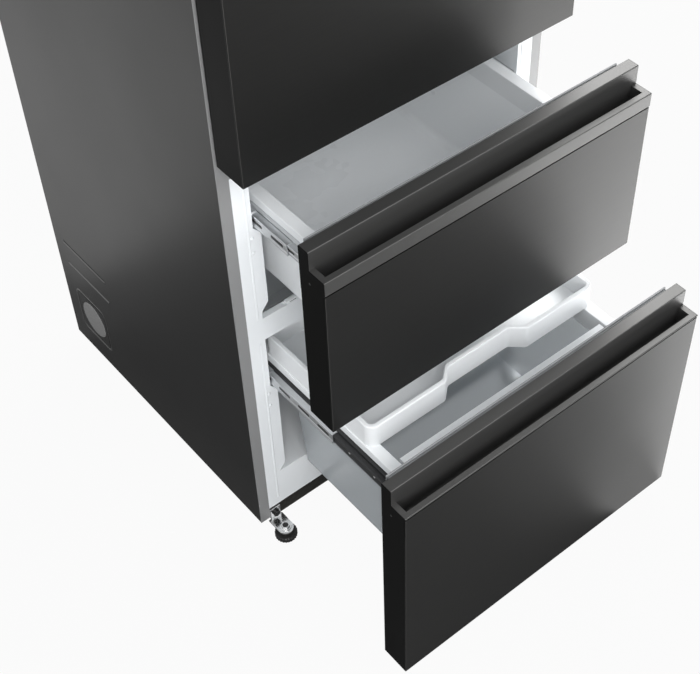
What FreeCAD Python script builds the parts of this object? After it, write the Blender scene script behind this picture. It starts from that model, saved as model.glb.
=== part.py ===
import FreeCAD, Part
import os
import re
import Sketcher
from FreeCAD import Placement, Rotation, Vector

# Two-drawer bottom-freezer refrigerator, drawers standing open as at rest.
# X runs to the right, Y to the back and Z up; the floor is Z = 0.
# The origin is under the middle of the whole outline, open drawers included.

# Driving sizes in millimetres
SIZES = {
    # case
    "cabinet_width": 595,
    "cabinet_depth": 595,
    "cabinet_height": 1862,
    "floor_gap": 28,
    "case_sheet": 1,
    "front_skin": 1.6,
    "flange_width": 19,
    "side_wall": 48,
    "back_wall": 55,
    "top_wall": 52,
    "liner_sheet": 1.6,
    "border_height": 82,
    "bar_height": 45.5,
    "bar_depth": 10,
    "toe_height": 25,
    "toe_drop": 3,
    "toe_sheet": 3,
    # pressed marks on the side panels, measured from the back and the bottom
    "mark_depth": 0.5,
    "mark_width": 3,
    "mark_inset": 34,
    "mark_length": 136,
    "mark_first": 209,
    "mark_spacing": 52,
    "frame_inset": 40,
    "frame_length": 95,
    "frame_raise": 50,
    "frame_height": 97,
    "frame_corner": 14,
    "disc_radius": 37,
    # machine compartment
    "machine_height": 215,
    "machine_depth": 215,
    "machine_foam": 50,
    "cover_sheet": 1.5,
    "plate_sheet": 2,
    "louvre_length": 180,
    "louvre_height": 5,
    "louvre_margin": 20,
    "gland_radius": 11,
    "gland_bore": 5.5,
    "gland_reach": 6,
    "gland_inset": 90,
    "gland_raise": 60,
    "compressor_radius": 72,
    "compressor_base": 58,
    "compressor_crown": 36,
    "machine_clear": 29,
    "dome_height": 50,
    "dome_round": 18,
    "compressor_shift": 110,
    "compressor_inset": 105,
    "grommet_radius": 9,
    "grommet_height": 10,
    "grommet_rise": 16,
    "grommet_reach": 40,
    "pan_length": 190,
    "pan_width": 120,
    "pan_height": 24,
    "pan_wall": 2,
    # doors and drawer fronts
    "lower_raise": 7.1,
    "lower_height": 443.2,
    "upper_height": 323.3,
    "drawer_gap": 10.7,
    "door_gap": 14.6,
    "door_drop": 3,
    "front_thickness": 51,
    "front_inset": 1.8,
    "face_sheet": 2,
    "edge_round": 1.4,
    "gasket_gap": 10.4,
    "gasket_play": 0.4,
    "gasket_width": 13,
    "gasket_side": 14,
    "gasket_end": 4,
    "gasket_raise": 20,
    "front_liner": 14,
    "liner_corner": 14,
    # grip trough along the top of each drawer front
    "wall_rise": 31.2,
    "grip_wall": 20.2,
    "lip_thickness": 9.6,
    "end_wall": 9.4,
    "trough_depth": 36,
    "trough_floor": 9,
    "upper_trim": 22.8,
    "lower_trim": 2,
    "seam_gap": 2.4,
    # drawers as they stand open, and their slides
    "upper_open": 163.4,
    "lower_open": 318.6,
    "slide_space": 17.5,
    "slide_height": 24,
    "slide_depth": 12,
    "slide_sheet": 1.5,
    "slide_play": 0.4,
    "slide_clear": 25,
    "slide_setback": 5,
    "arm_sheet": 2,
    "arm_ledge": 10,
    "guide_step": 12.5,
    "guide_depth": 30,
    "guide_slope": 15,
    # bins
    "rim_drop": 53.5,
    "rim_width": 20,
    "rim_height": 15,
    "bin_wall": 3,
    "bin_draft": 12.5,
    "bin_clear": 16.4,
    "bin_corner": 16,
    "bin_lean": 8,
    "upper_bin_depth": 195,
    "lower_bin_depth": 253,
    "hump_clear": 16,
    # pull-out tray
    "tray_play": 2,
    "tray_setback": 105,
    "tray_length": 260,
    "tray_height": 44,
    "tray_wall": 8,
    "tray_floor": 3,
    "tray_corner": 16,
    "tray_round": 2,
    "pull_half": 62,
    "pull_slope": 22,
    "pull_depth": 20,
    "pull_round": 10,
    # freezer air system
    "coil_space": 80,
    "coil_clear": 14,
    "coil_margin": 69.5,
    "coil_height": 170,
    "coil_raise": 30,
    "fin_sheet": 1.2,
    "fin_pitch": 24,
    "tube_radius": 4,
    "tube_first": 21,
    "tube_spacing": 42,
    "duct_sheet": 6,
    "vent_length": 60,
    "vent_height": 10,
    "vent_spacing": 84,
    "fan_radius": 42,
    "fan_drop": 75,
    "fan_depth": 16,
    "fan_opening": 46,
    "hub_radius": 13,
    "blade_sheet": 2,
    "blade_sweep": 24,
    "motor_radius": 20,
    "motor_depth": 28,
    "motor_foot": 6,
    "mount_half": 60,
    "shaft_radius": 3,
    # fresh-food compartment
    "mullion_over": 22,
    "mullion_under": 19,
    "shelf_first": 205,
    "shelf_last": 260,
    "shelf_glass": 4,
    "shelf_setback": 120,
    "shelf_play": 1.5,
    "rib_width": 9,
    "rib_height": 8,
    "air_panel_half": 70,
    "air_panel_depth": 12,
    "lamp_half": 90,
    "lamp_length": 40,
    "lamp_height": 8,
    "crisper_setback": 165,
    "crisper_clear": 17,
    "crisper_play": 8,
    "crisper_lift": 0.3,
    "crisper_wall": 2.5,
    "crisper_corner": 18,
    # upper door
    "dyke_play": 17.5,
    "dyke_width": 16,
    "dyke_reach": 25,
    "dyke_margin": 12,
    "skin_sheet": 2,
    "skin_clear": 3,
    "door_bin_depth": 95,
    "door_bin_height": 85,
    "door_bin_wall": 2.5,
    "door_bin_play": 0.5,
    "door_bin_first": 40,
    "door_bin_last": 228,
    "grip_raise": 350,
    "grip_length": 300,
    "grip_width": 22,
    "grip_depth": 24,
    "grip_setback": 11,
    "grip_sheet": 2,
    # hinges
    "hinge_inset": 14,
    "pin_radius": 4,
    "pin_length": 15,
    "pin_play": 0.05,
    "bore_spare": 2,
    "hinge_plate": 3,
    "hinge_nose": 10,
    "hinge_tail": 70,
    "hinge_width": 32,
    "collar_radius": 8,
    "collar_play": 0.3,
    "bracket_drop": 4,
    "bracket_plate": 4,
    "bracket_leg": 48,
    "bracket_rise": 13,
    "leg_clear": 1,
    "cap_height": 15,
    "cap_wall": 3,
    "cap_margin": 4,
    "screw_radius": 3.5,
    "screw_head": 2.5,
    "screw_first": 24.5,
    "screw_spacing": 17.5,
    "leg_screw_first": 6,
    "leg_screw_spacing": 14,
    # feet and rollers
    "foot_inset": 29,
    "foot_reach": 29,
    "foot_radius": 19.5,
    "foot_height": 11,
    "foot_notch": 1.6,
    "foot_collar": 10,
    "stem_radius": 5,
    "stem_rise": 6,
    "eye_radius": 14,
    "eye_plate": 3,
    "eye_drop": 9,
    "leg_width": 20,
    "leg_height": 31,
    "bolt_radius": 6.5,
    "bolt_head": 5,
    "bolt_raise": 19,
    "roller_clear": 2,
    "roller_width": 18,
    "roller_inset": 45,
    "roller_setback": 40,
    "axle_radius": 4,
    "ear_sheet": 3,
    "ear_play": 0.5,
    "ear_width": 18,
}

# Numbers of repeated features
SIDE_MARKS = 2
LOUVRES = 9
VENTS = 5
COIL_ROWS = 4
FAN_BLADES = 7
FOOT_NOTCHES = 24
SHELVES = 3
DOOR_BINS = 3
TOP_SCREWS = 3
LEG_SCREWS = 2

# Places worked out from the sizes
LAYOUT = {
    "half_width": "cabinet_width / 2",
    "front_y": "(lower_open + gasket_gap + front_thickness - cabinet_depth) / 2",
    "back_y": "front_y + cabinet_depth",
    "case_bottom": "floor_gap",
    "case_top": "case_bottom + cabinet_height",
    "base_top": "case_bottom + toe_height",
    "foam_half": "half_width - case_sheet",
    "foam_front": "front_y + front_skin",
    "foam_back": "back_y - case_sheet",
    "border_half": "half_width - flange_width",
    "cavity_half": "half_width - side_wall",
    "liner_half": "cavity_half + liner_sheet",
    "cavity_back": "back_y - back_wall",
    # fronts from the bottom up
    "front_half": "half_width - front_inset",
    "lower_bottom": "case_bottom + lower_raise",
    "lower_top": "lower_bottom + lower_height",
    "lower_lip": "lower_top - wall_rise",
    "upper_bottom": "lower_top + drawer_gap",
    "upper_top": "upper_bottom + upper_height",
    "upper_lip": "upper_top - wall_rise",
    "door_bottom": "upper_top + door_gap",
    "door_top": "case_top - door_drop",
    "door_back": "front_y - gasket_gap",
    "door_face": "door_back - front_thickness",
    "upper_back": "door_back - upper_open",
    "lower_back": "door_back - lower_open",
    # compartments
    "freezer_floor": "base_top + border_height",
    "freezer_top": "upper_top - mullion_under",
    "fridge_floor": "door_bottom + mullion_over",
    "fridge_top": "case_top - top_wall",
    "bar_bottom": "(lower_top + upper_bottom - bar_height) / 2",
    "bar_top": "bar_bottom + bar_height",
    "machine_top": "case_bottom + machine_height",
    "machine_front": "back_y - machine_depth",
    "foam_step": "machine_top + case_sheet",
    "foam_riser": "machine_front - case_sheet",
    "hump_top": "foam_step + machine_foam + liner_sheet",
    "hump_front": "foam_riser - machine_foam",
    "cover_y": "cavity_back - coil_space",
    "coil_half": "cavity_half - coil_margin",
    "coil_depth": "coil_space - duct_sheet - coil_clear",
    "louvre_pitch": f"(machine_height - gland_raise - louvre_margin) / {LOUVRES}",
    "compressor_height": "machine_height - plate_sheet - grommet_height - pan_height - machine_clear",
    "fridge_height": "fridge_top - fridge_floor",
    "shelf_spacing": f"(fridge_height - shelf_first - shelf_last) / {SHELVES - 1}",
    "crisper_height": "shelf_first - rib_height - crisper_clear",
    # inside of the upper door
    "skin_margin": "gasket_side + gasket_width + skin_clear",
    "dyke_half": "cavity_half - dyke_play",
    "dyke_low": "fridge_floor + dyke_margin",
    "dyke_high": "fridge_top - dyke_margin",
    "bin_space": "dyke_high - dyke_low - 2 * dyke_width",
    "door_bin_spacing": f"(bin_space - door_bin_first - door_bin_height - door_bin_last) / {DOOR_BINS - 1}",
    # slides and bins
    "trough_round": "(front_thickness - lip_thickness - grip_wall) / 3",
    "slide_length": "cover_y - slide_clear - front_y - slide_setback",
    "bin_length": "cover_y - bin_clear - door_back - front_liner",
    "deep_length": "hump_front - liner_sheet - hump_clear - door_back - front_liner",
    "rim_half": "cavity_half - slide_space",
    "bin_top_half": "rim_half - rim_width + bin_wall",
    "bin_foot_half": "bin_top_half - bin_draft",
    "guide_half": "cavity_half - guide_step",
    "arm_out": "cavity_half - slide_depth - slide_play",
    "arm_in": "arm_out - arm_sheet",
    "ledge_in": "arm_in - arm_ledge",
    "front_liner_half": "ledge_in - arm_sheet",
    "nest": "slide_sheet + slide_play",
    "upper_rim": "upper_lip - rim_drop",
    "lower_rim": "lower_lip - rim_drop",
    "shelf_depth": "lower_rim - hump_top - hump_clear",
    "tray_front": "lower_back + tray_setback",
    "tray_half": "rim_half - tray_play",
    "fan_z": "freezer_top - fan_drop",
    "motor_y": "cavity_back - motor_foot - motor_depth",
    "shaft_length": "fan_depth + ear_play",
    "shaft_y": "motor_y - shaft_length",
    # hinges, feet and rollers
    "hinge_x": "half_width - hinge_inset",
    "hinge_y": "door_back - front_thickness / 2",
    "bracket_z": "upper_top + bracket_drop",
    "foot_x": "half_width - foot_inset",
    "foot_y": "front_y - foot_reach",
    "eye_z": "case_bottom - eye_drop",
    "roller_radius": "(floor_gap - roller_clear) / 2",
    "roller_x": "half_width - roller_inset",
    "roller_y": "back_y - roller_setback",
    "ear_start": "roller_width / 2 + ear_play",
    "ear_end": "ear_start + ear_sheet",
    "frame_back": "back_y - frame_inset",
    "disc_y": "frame_back - frame_length / 2",
    "disc_z": "case_bottom + frame_raise + frame_height / 2",
    "mark_back": "back_y - mark_inset",
}

# Limits for picking out edges: a distance in millimetres and a slant across per length along
NEAR = 0.1
SLANT = 0.3

doc = FreeCAD.newDocument("refrigerator")
nodes = []


def link(text):
    def owner(match):
        word = match.group(0)
        return ("Sizes." if word in SIZES else "Layout.") + word
    return re.sub(r"[a-z]\w*", owner, text)


def fill_sheet(name, cells):
    sheet = doc.addObject("Spreadsheet::Sheet", name)
    for row, (alias, content) in enumerate(cells.items(), start=1):
        sheet.set(f"A{row}", alias)
        sheet.set(f"B{row}", content)
        sheet.setAlias(f"B{row}", alias)
    doc.recompute()
    return sheet


fill_sheet("Sizes", {alias: str(size) for alias, size in SIZES.items()})
layout = fill_sheet("Layout", {alias: "=" + link(text) for alias, text in LAYOUT.items()})


def value(text):
    return float(layout.evalExpression(link(text)))


def across(half):
    return f"-({half})", half


def box(name, x, y, z):
    solid = doc.addObject("Part::Box", name)
    for size, axis, (low, high) in zip(("Length", "Width", "Height"), "xyz", (x, y, z)):
        solid.setExpression(size, link(f"({high}) - ({low})"))
        solid.setExpression(f"Placement.Base.{axis}", link(low))
    return solid


TURN = {
    "x": Rotation(Vector(0, 1, 0), 90),
    "y": Rotation(Vector(1, 0, 0), -90),
    "z": Rotation(),
}


def cylinder(name, axis, radius, length, start):
    solid = doc.addObject("Part::Cylinder", name)
    solid.Placement = Placement(Vector(), TURN[axis])
    solid.setExpression("Radius", link(radius))
    solid.setExpression("Height", link(length))
    for part, text in zip("xyz", start):
        solid.setExpression(f"Placement.Base.{part}", link(text))
    return solid


def tapered(name, y, z, half, lean):
    # A box that narrows downwards; half and lean give its top and bottom sides.
    solid = doc.addObject("Part::Wedge", name)
    solid.Placement = Placement(Vector(), Rotation(Vector(1, 0, 0), 90))
    top_half, foot_half = half
    faces = {
        "Xmin": f"-({foot_half})", "Xmax": foot_half,
        "X2min": f"-({top_half})", "X2max": top_half,
        "Ymin": z[0], "Ymax": z[1],
        "Zmin": f"-({y[1]}) + {lean}", "Zmax": f"-({y[0]}) - {lean}",
        "Z2min": f"-({y[1]})", "Z2max": f"-({y[0]})",
    }
    for face, text in faces.items():
        solid.setExpression(face, link(text))
    return solid


def rounded(base, radius, chosen):
    doc.recompute()
    solid = doc.addObject("Part::Fillet", base.Name + "_round")
    solid.Base = base
    size = value(radius)
    solid.Edges = [(i, size, size) for i, edge in enumerate(base.Shape.Edges, start=1) if chosen(edge)]
    return solid


def along(axis):
    unit = {"x": Vector(1, 0, 0), "y": Vector(0, 1, 0), "z": Vector(0, 0, 1)}[axis]

    def chosen(edge):
        run = edge.Vertexes[-1].Point - edge.Vertexes[0].Point
        reach = run.dot(unit)
        return (run - unit * reach).Length < SLANT * abs(reach)
    return chosen


def fuse(name, *solids):
    whole = doc.addObject("Part::MultiFuse", name)
    whole.Shapes = list(solids)
    whole.Refine = True
    return whole


def cut(name, base, *tools):
    whole = doc.addObject("Part::Cut", name)
    whole.Base = base
    whole.Tool = tools[0] if len(tools) == 1 else fuse(name + "_tools", *tools)
    return whole


def group(name, *solids):
    whole = doc.addObject("Part::Compound", name)
    whole.Links = list(solids)
    return whole


def mirrored(solid):
    copy = doc.addObject("Part::Mirroring", solid.Name + "_right")
    copy.Source = solid
    copy.Normal = Vector(1, 0, 0)
    return copy


def pair(name, left):
    return group(name, left, mirrored(left))


def keep(label, solid):
    solid.Label = label
    nodes.append(solid)
    return solid


def sketch_on(body, role, offset):
    plane = next(feature for feature in body.Origin.OriginFeatures if feature.Role == role)
    sketch = body.newObject("Sketcher::SketchObject", body.Name + "_sketch")
    sketch.AttachmentSupport = [(plane, "")]
    sketch.MapMode = "FlatFace"
    sketch.setExpression("AttachmentOffset.Base.z", link(offset))
    return sketch


def tie(sketch, kind, place, text):
    index = sketch.addConstraint(Sketcher.Constraint(kind, *place, value(text)))
    sketch.setExpression(f"Constraints[{index}]", link(text))


def outline(body, role, offset, points):
    sketch = sketch_on(body, role, offset)
    corners = [Vector(value(x), value(y), 0) for x, y in points]
    count = len(corners)
    for i, corner in enumerate(corners):
        sketch.addGeometry(Part.LineSegment(corner, corners[(i + 1) % count]), False)
    for i, (x, y) in enumerate(points):
        sketch.addConstraint(Sketcher.Constraint("Coincident", i, 2, (i + 1) % count, 1))
        tie(sketch, "DistanceX", (i, 1), x)
        tie(sketch, "DistanceY", (i, 1), y)
    return sketch


def feature(body, kind, sketch, length=None):
    made = body.newObject("PartDesign::" + kind, f"{body.Name}_{kind}")
    made.Profile = sketch
    if length:
        made.setExpression("Length", link(length))
    body.Tip = made
    return made


def new_body(name):
    return doc.addObject("PartDesign::Body", name)


def extruded(name, role, offset, points, length):
    body = new_body(name)
    feature(body, "Pad", outline(body, role, offset, points), length)
    return body


def turned(name, points):
    # A solid of revolution about the body's own upright axis
    body = new_body(name)
    sketch = outline(body, "XZ_Plane", "0", points)
    made = body.newObject("PartDesign::Revolution", name + "_turn")
    made.Profile = sketch
    made.ReferenceAxis = (sketch, ["V_Axis"])
    made.Angle = 360
    body.Tip = made
    return body


def smooth(body, radius, chosen):
    doc.recompute()
    base = body.Tip
    names = [f"Edge{i}" for i, edge in enumerate(base.Shape.Edges, start=1) if chosen(edge)]
    made = body.newObject("PartDesign::Fillet", body.Name + "_fillet")
    made.Base = (base, names)
    made.setExpression("Radius", link(radius))
    body.Tip = made


def repeat_round(body, original, count):
    upright = next(feature for feature in body.Origin.OriginFeatures if feature.Role == "Z_Axis")
    pattern = body.newObject("PartDesign::PolarPattern", body.Name + "_ring")
    pattern.Originals = [original]
    pattern.Axis = (upright, [""])
    pattern.Angle = 360
    pattern.Occurrences = count
    body.Tip = pattern


def stand(solid, *place):
    for axis, text in zip("xyz", place):
        solid.setExpression(f"Placement.Base.{axis}", link(text))
    return solid


def build_case():
    sheet = box("side_sheet", ("-half_width", "-foam_half"), ("foam_front", "back_y"),
                ("case_bottom", "case_top"))
    depth = ("-half_width - mark_depth", "-half_width + mark_depth")
    marks = []
    for row in range(SIDE_MARKS):
        low = f"case_bottom + mark_first + {row} * mark_spacing"
        marks.append(box(f"mark_{row}", depth, ("mark_back - mark_length", "mark_back"),
                         (low, f"{low} + mark_width")))
    low = "case_bottom + frame_raise"
    outer = box("frame_outer", depth, ("frame_back - frame_length", "frame_back"),
                (low, f"{low} + frame_height"))
    inner = box("frame_inner", depth, ("frame_back - frame_length + mark_width", "frame_back - mark_width"),
                (f"{low} + mark_width", f"{low} + frame_height - mark_width"))
    frame = cut("frame_mark", rounded(outer, "frame_corner", along("x")),
                rounded(inner, "frame_corner - mark_width", along("x")))
    centre = ("-half_width - mark_depth", "disc_y", "disc_z")
    disc = cut("disc_mark", cylinder("disc_outer", "x", "disc_radius", "2 * mark_depth", centre),
               cylinder("disc_inner", "x", "disc_radius - mark_width", "2 * mark_depth", centre))
    left = keep("side_panel_left", cut("side_left", sheet, *marks, frame, disc))
    keep("side_panel_right", mirrored(left))
    keep("top_panel", box("top_sheet", across("foam_half"), ("foam_front", "back_y"),
                          ("case_top - case_sheet", "case_top")))
    keep("back_panel", box("back_sheet", across("foam_half"), ("foam_back", "back_y"),
                           ("foam_step", "case_top - case_sheet")))
    skin = ("front_y", "foam_front")
    strip = box("flange_left", ("-half_width", "-border_half"), skin,
                ("case_bottom", "case_top - flange_width"))
    top = box("flange_top", across("half_width"), skin, ("case_top - flange_width", "case_top"))
    middle = box("flange_middle", across("border_half"), skin, ("freezer_top", "fridge_floor"))
    keep("front_flange", group("flanges", strip, mirrored(strip), top, middle))


def build_insulation():
    side = ("-foam_half", "-liner_half")
    high = box("foam_side", side, ("foam_front", "foam_back"), ("foam_step", "case_top - case_sheet"))
    low = box("foam_side_low", side, ("foam_front", "foam_riser"), ("base_top", "foam_step"))
    width = across("liner_half")
    back = "cavity_back + liner_sheet"
    top = box("foam_top", width, ("foam_front", "foam_back"),
              ("fridge_top + liner_sheet", "case_top - case_sheet"))
    rear = box("foam_rear", width, (back, "foam_back"), ("foam_step", "fridge_top + liner_sheet"))
    middle = box("foam_middle", width, ("foam_front", back),
                 ("freezer_top + liner_sheet", "fridge_floor - liner_sheet"))
    floor = box("foam_floor", width, ("foam_front", "hump_front"),
                ("base_top", "freezer_floor - liner_sheet"))
    riser = box("foam_riser", width, ("hump_front", "foam_riser"), ("base_top", "hump_top - liner_sheet"))
    step = box("foam_step", width, ("foam_riser", back), ("foam_step", "hump_top - liner_sheet"))
    keep("insulation_foam", group("foam", high, mirrored(high), low, mirrored(low),
                                  top, rear, middle, floor, riser, step))


def build_fridge_liner():
    outer = box("fridge_outer", across("liner_half"), ("foam_front", "cavity_back + liner_sheet"),
                ("fridge_floor - liner_sheet", "fridge_top + liner_sheet"))
    border = box("fridge_border", across("border_half"), ("front_y", "foam_front"),
                 ("fridge_floor", "case_top - flange_width"))
    inner = box("fridge_inner", across("cavity_half"), ("front_y", "cavity_back"),
                ("fridge_floor", "fridge_top"))
    shell = cut("fridge_shell", fuse("fridge_block", outer, border), inner)
    fittings = [box("air_panel", across("air_panel_half"), ("cavity_back - air_panel_depth", "cavity_back"),
                    ("fridge_floor + shelf_first", "fridge_top"))]
    for row in range(SHELVES):
        top = f"fridge_floor + shelf_first + {row} * shelf_spacing"
        rib = box(f"rib_{row}", ("-cavity_half", "-cavity_half + rib_width"),
                  ("front_y + shelf_setback", "cavity_back"), (f"{top} - rib_height", top))
        fittings += [rib, mirrored(rib)]
    keep("fridge_liner", fuse("fridge_lining", shell, *fittings))


def build_freezer_liner():
    top = "freezer_top + liner_sheet"
    outer = box("freezer_outer", across("liner_half"), ("foam_front", "hump_front"),
                ("freezer_floor - liner_sheet", top))
    outer_high = box("freezer_outer_high", across("liner_half"), ("foam_front", "cavity_back + liner_sheet"),
                     ("hump_top - liner_sheet", top))
    border = box("freezer_border", across("border_half"), ("front_y", "foam_front"),
                 ("base_top", "freezer_top"))
    inner = box("freezer_inner", across("cavity_half"), ("front_y", "hump_front - liner_sheet"),
                ("freezer_floor", "freezer_top"))
    inner_high = box("freezer_inner_high", across("cavity_half"), ("foam_front", "cavity_back"),
                     ("hump_top", "freezer_top"))
    slot = box("bar_slot", across("border_half"), ("front_y", "foam_front"), ("bar_bottom", "bar_top"))
    keep("freezer_liner", cut("freezer_lining", fuse("freezer_block", outer, outer_high, border),
                              inner, inner_high, slot))
    plate = box("bar_plate", across("border_half"), ("front_y", "foam_front"), ("bar_bottom", "bar_top"))
    beam = box("bar_beam", across("cavity_half"), ("front_y", "front_y + bar_depth"), ("bar_bottom", "bar_top"))
    keep("drawer_crossbar", fuse("crossbar", plate, beam))


def build_guides():
    spans = {
        "upper": ("bar_top + guide_slope", "upper_rim - rim_height - slide_height - slide_play"),
        "lower": ("freezer_floor", "lower_rim - rim_height - slide_height - slide_play"),
    }
    guides = []
    for level, (low, high) in spans.items():
        points = [("-cavity_half", low), ("-guide_half", f"{low} + guide_slope"),
                  ("-guide_half", f"{high} - guide_slope"), ("-cavity_half", high)]
        left = extruded(f"guide_{level}", "XZ_Plane", "-front_y - guide_depth", points, "guide_depth")
        guides += [left, mirrored(left)]
    keep("rail_guides", group("guides", *guides))


def build_base():
    keep("toe_plate", box("toe", across("border_half"), ("front_y", "front_y + toe_sheet"),
                          ("case_bottom - toe_drop", "base_top")))
    keep("base_plate", box("base", across("foam_half"), ("front_y + toe_sheet", "machine_front"),
                           ("base_top - case_sheet", "base_top")))
    wall = box("bulkhead_wall", across("foam_half"), ("foam_riser", "machine_front"), ("base_top", "foam_step"))
    roof = box("bulkhead_roof", across("foam_half"), ("machine_front", "foam_back"),
               ("machine_top", "foam_step"))
    keep("machine_bulkhead", fuse("bulkhead", wall, roof))
    floor = box("machine_floor", across("foam_half"), ("machine_front", "back_y - cover_sheet"),
                ("case_bottom", "case_bottom + plate_sheet"))
    depth = ("roller_y - ear_width / 2", "roller_y + ear_width / 2")
    height = ("roller_radius - ear_width / 2", "case_bottom")
    ears = []
    for side in ("-roller_x - ear_end", "-roller_x + ear_start"):
        ears.append(box("ear", (side, f"{side} + ear_sheet"), depth, height))
    bore = cylinder("axle_bore", "x", "axle_radius + pin_play", "2 * ear_end",
                    ("-roller_x - ear_end", "roller_y", "roller_radius"))
    left = cut("ears_left", fuse("ears", *ears), bore)
    keep("compressor_plate", fuse("machine_pan", floor, left, mirrored(left)))
    for side, sign in (("left", "-"), ("right", "")):
        wheel = cylinder(f"wheel_{side}", "x", "roller_radius", "roller_width",
                         (f"{sign}roller_x - roller_width / 2", "roller_y", "roller_radius"))
        axle = cylinder(f"axle_{side}", "x", "axle_radius", "2 * ear_end",
                        (f"{sign}roller_x - ear_end", "roller_y", "roller_radius"))
        tread = rounded(wheel, "edge_round", lambda edge: edge.Closed)
        keep(f"rear_roller_{side}", fuse(f"roller_{side}", tread, axle))


def build_feet():
    plate = box("eye_plate", ("-foot_x - eye_radius", "-foot_x + eye_radius"), ("foot_y", "front_y"),
                ("eye_z", "eye_z + eye_plate"))
    eye = cylinder("eye", "z", "eye_radius", "eye_plate", ("-foot_x", "foot_y", "eye_z"))
    leg = box("eye_leg", ("-foot_x - leg_width / 2", "-foot_x + leg_width / 2"),
              ("front_y - eye_plate", "front_y"), ("eye_z", "eye_z + leg_height"))
    hole = cylinder("eye_hole", "z", "stem_radius + pin_play", "eye_plate", ("-foot_x", "foot_y", "eye_z"))
    keep("foot_brackets", pair("brackets", cut("bracket", fuse("bracket_metal", plate, eye, leg), hole)))
    for side, sign in (("left", "-"), ("right", "")):
        top = "eye_z + eye_plate + stem_rise"
        points = [("0", "0"), ("foot_radius - foot_notch", "0"), ("foot_radius", "foot_notch"),
                  ("foot_radius", "foot_height - foot_notch"), ("foot_radius - foot_notch", "foot_height"),
                  ("foot_collar", "foot_height"), ("foot_collar", "eye_z - collar_play"),
                  ("stem_radius", "eye_z - collar_play"), ("stem_radius", top), ("0", top)]
        body = turned(f"foot_{side}", points)
        notch = sketch_on(body, "XY_Plane", "foot_height")
        centre = Vector(value("foot_radius"), 0, 0)
        notch.addGeometry(Part.Circle(centre, Vector(0, 0, 1), value("foot_notch")), False)
        tie(notch, "DistanceX", (0, 3), "foot_radius")
        notch.addConstraint(Sketcher.Constraint("PointOnObject", 0, 3, -1))
        tie(notch, "Radius", (0,), "foot_notch")
        groove = feature(body, "Pocket", notch, "foot_height")
        repeat_round(body, groove, FOOT_NOTCHES)
        keep(f"levelling_foot_{side}", stand(body, f"{sign}foot_x", "foot_y", "0"))


def build_machine():
    cover = box("cover_sheet", across("foam_half"), ("back_y - cover_sheet", "back_y"),
                ("case_bottom", "machine_top"))
    slots = []
    for row in range(LOUVRES):
        low = f"case_bottom + gland_raise + {row} * louvre_pitch"
        slots.append(box(f"louvre_{row}",
                         ("compressor_shift - louvre_length / 2", "compressor_shift + louvre_length / 2"),
                         ("back_y - cover_sheet", "back_y"), (low, f"{low} + louvre_height")))
    keep("machine_cover", cut("rear_cover", cover, *slots))
    place = ("-half_width + gland_inset", "back_y", "case_bottom + gland_raise")
    rim = cylinder("gland_rim", "y", "gland_radius", "gland_reach", place)
    mouth = cylinder("gland_mouth", "y", "gland_bore", "gland_reach", place)
    keep("cord_gland", cut("gland", rim, mouth))
    floor = "case_bottom + plate_sheet"
    centre_y = "back_y - compressor_inset"
    foot = "grommet_height"
    top = f"{foot} + compressor_height"
    points = [("0", foot), ("compressor_base", foot), ("compressor_radius", f"{foot} + dome_height"),
              ("compressor_radius", f"{top} - dome_height"), ("compressor_crown", top), ("0", top)]
    dome = turned("compressor_dome", points)
    girth = value("compressor_radius")
    smooth(dome, "dome_round", lambda edge: edge.Closed and abs(edge.Curve.Radius - girth) < NEAR)
    stand(dome, "compressor_shift", centre_y, floor)
    grommets = []
    for side in "-+":
        for end in "-+":
            place = (f"compressor_shift {side} grommet_reach", f"{centre_y} {end} grommet_reach", floor)
            grommets.append(cylinder("grommet", "z", "grommet_radius", "grommet_rise", place))
    keep("compressor", fuse("compressor_unit", dome, *grommets))
    low = f"{floor} + {top}"
    span = ("compressor_shift - pan_length / 2", "compressor_shift + pan_length / 2")
    reach = (f"{centre_y} - pan_width / 2", f"{centre_y} + pan_width / 2")
    pan = box("pan_block", span, reach, (low, f"{low} + pan_height"))
    hollow = box("pan_hollow", (f"{span[0]} + pan_wall", f"{span[1]} - pan_wall"),
                 (f"{reach[0]} + pan_wall", f"{reach[1]} - pan_wall"),
                 (f"{low} + pan_wall", f"{low} + pan_height"))
    keep("drain_pan", cut("pan", pan, hollow))


def build_freezer_air():
    low = "hump_top + coil_raise"
    fins = []
    count = int(2 * value("coil_half") // value("fin_pitch"))
    for i in range(count + 1):
        x = f"-coil_half + {i} * fin_pitch"
        fins.append(box(f"fin_{i}", (x, f"{x} + fin_sheet"), ("cavity_back - coil_depth", "cavity_back"),
                        (low, f"{low} + coil_height")))
    for row in range(COIL_ROWS):
        place = ("-coil_half", "cavity_back - coil_depth / 2", f"{low} + tube_first + {row} * tube_spacing")
        fins.append(cylinder(f"tube_{row}", "x", "tube_radius", "2 * coil_half", place))
    keep("evaporator", fuse("coil", *fins))
    sheet = ("cover_y", "cover_y + duct_sheet")
    panel = box("duct_panel", across("cavity_half"), sheet, ("hump_top", "freezer_top"))
    holes = [cylinder("fan_hole", "y", "fan_opening", "duct_sheet", ("0", "cover_y", "fan_z"))]
    for i in range(VENTS):
        x = f"({i} - {(VENTS - 1) / 2}) * vent_spacing"
        holes.append(box(f"vent_{i}", (f"{x} - vent_length / 2", f"{x} + vent_length / 2"), sheet,
                         (low, f"{low} + vent_height")))
    keep("evaporator_cover", cut("duct_cover", panel, *holes))
    mount = box("motor_mount", across("mount_half"), ("cavity_back - motor_foot", "cavity_back"),
                ("fan_z - motor_radius", "fan_z + motor_radius"))
    can = cylinder("motor_can", "y", "motor_radius", "motor_depth", ("0", "motor_y", "fan_z"))
    shaft = cylinder("motor_shaft", "y", "shaft_radius", "shaft_length", ("0", "shaft_y", "fan_z"))
    keep("fan_motor", fuse("motor", mount, can, shaft))


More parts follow.
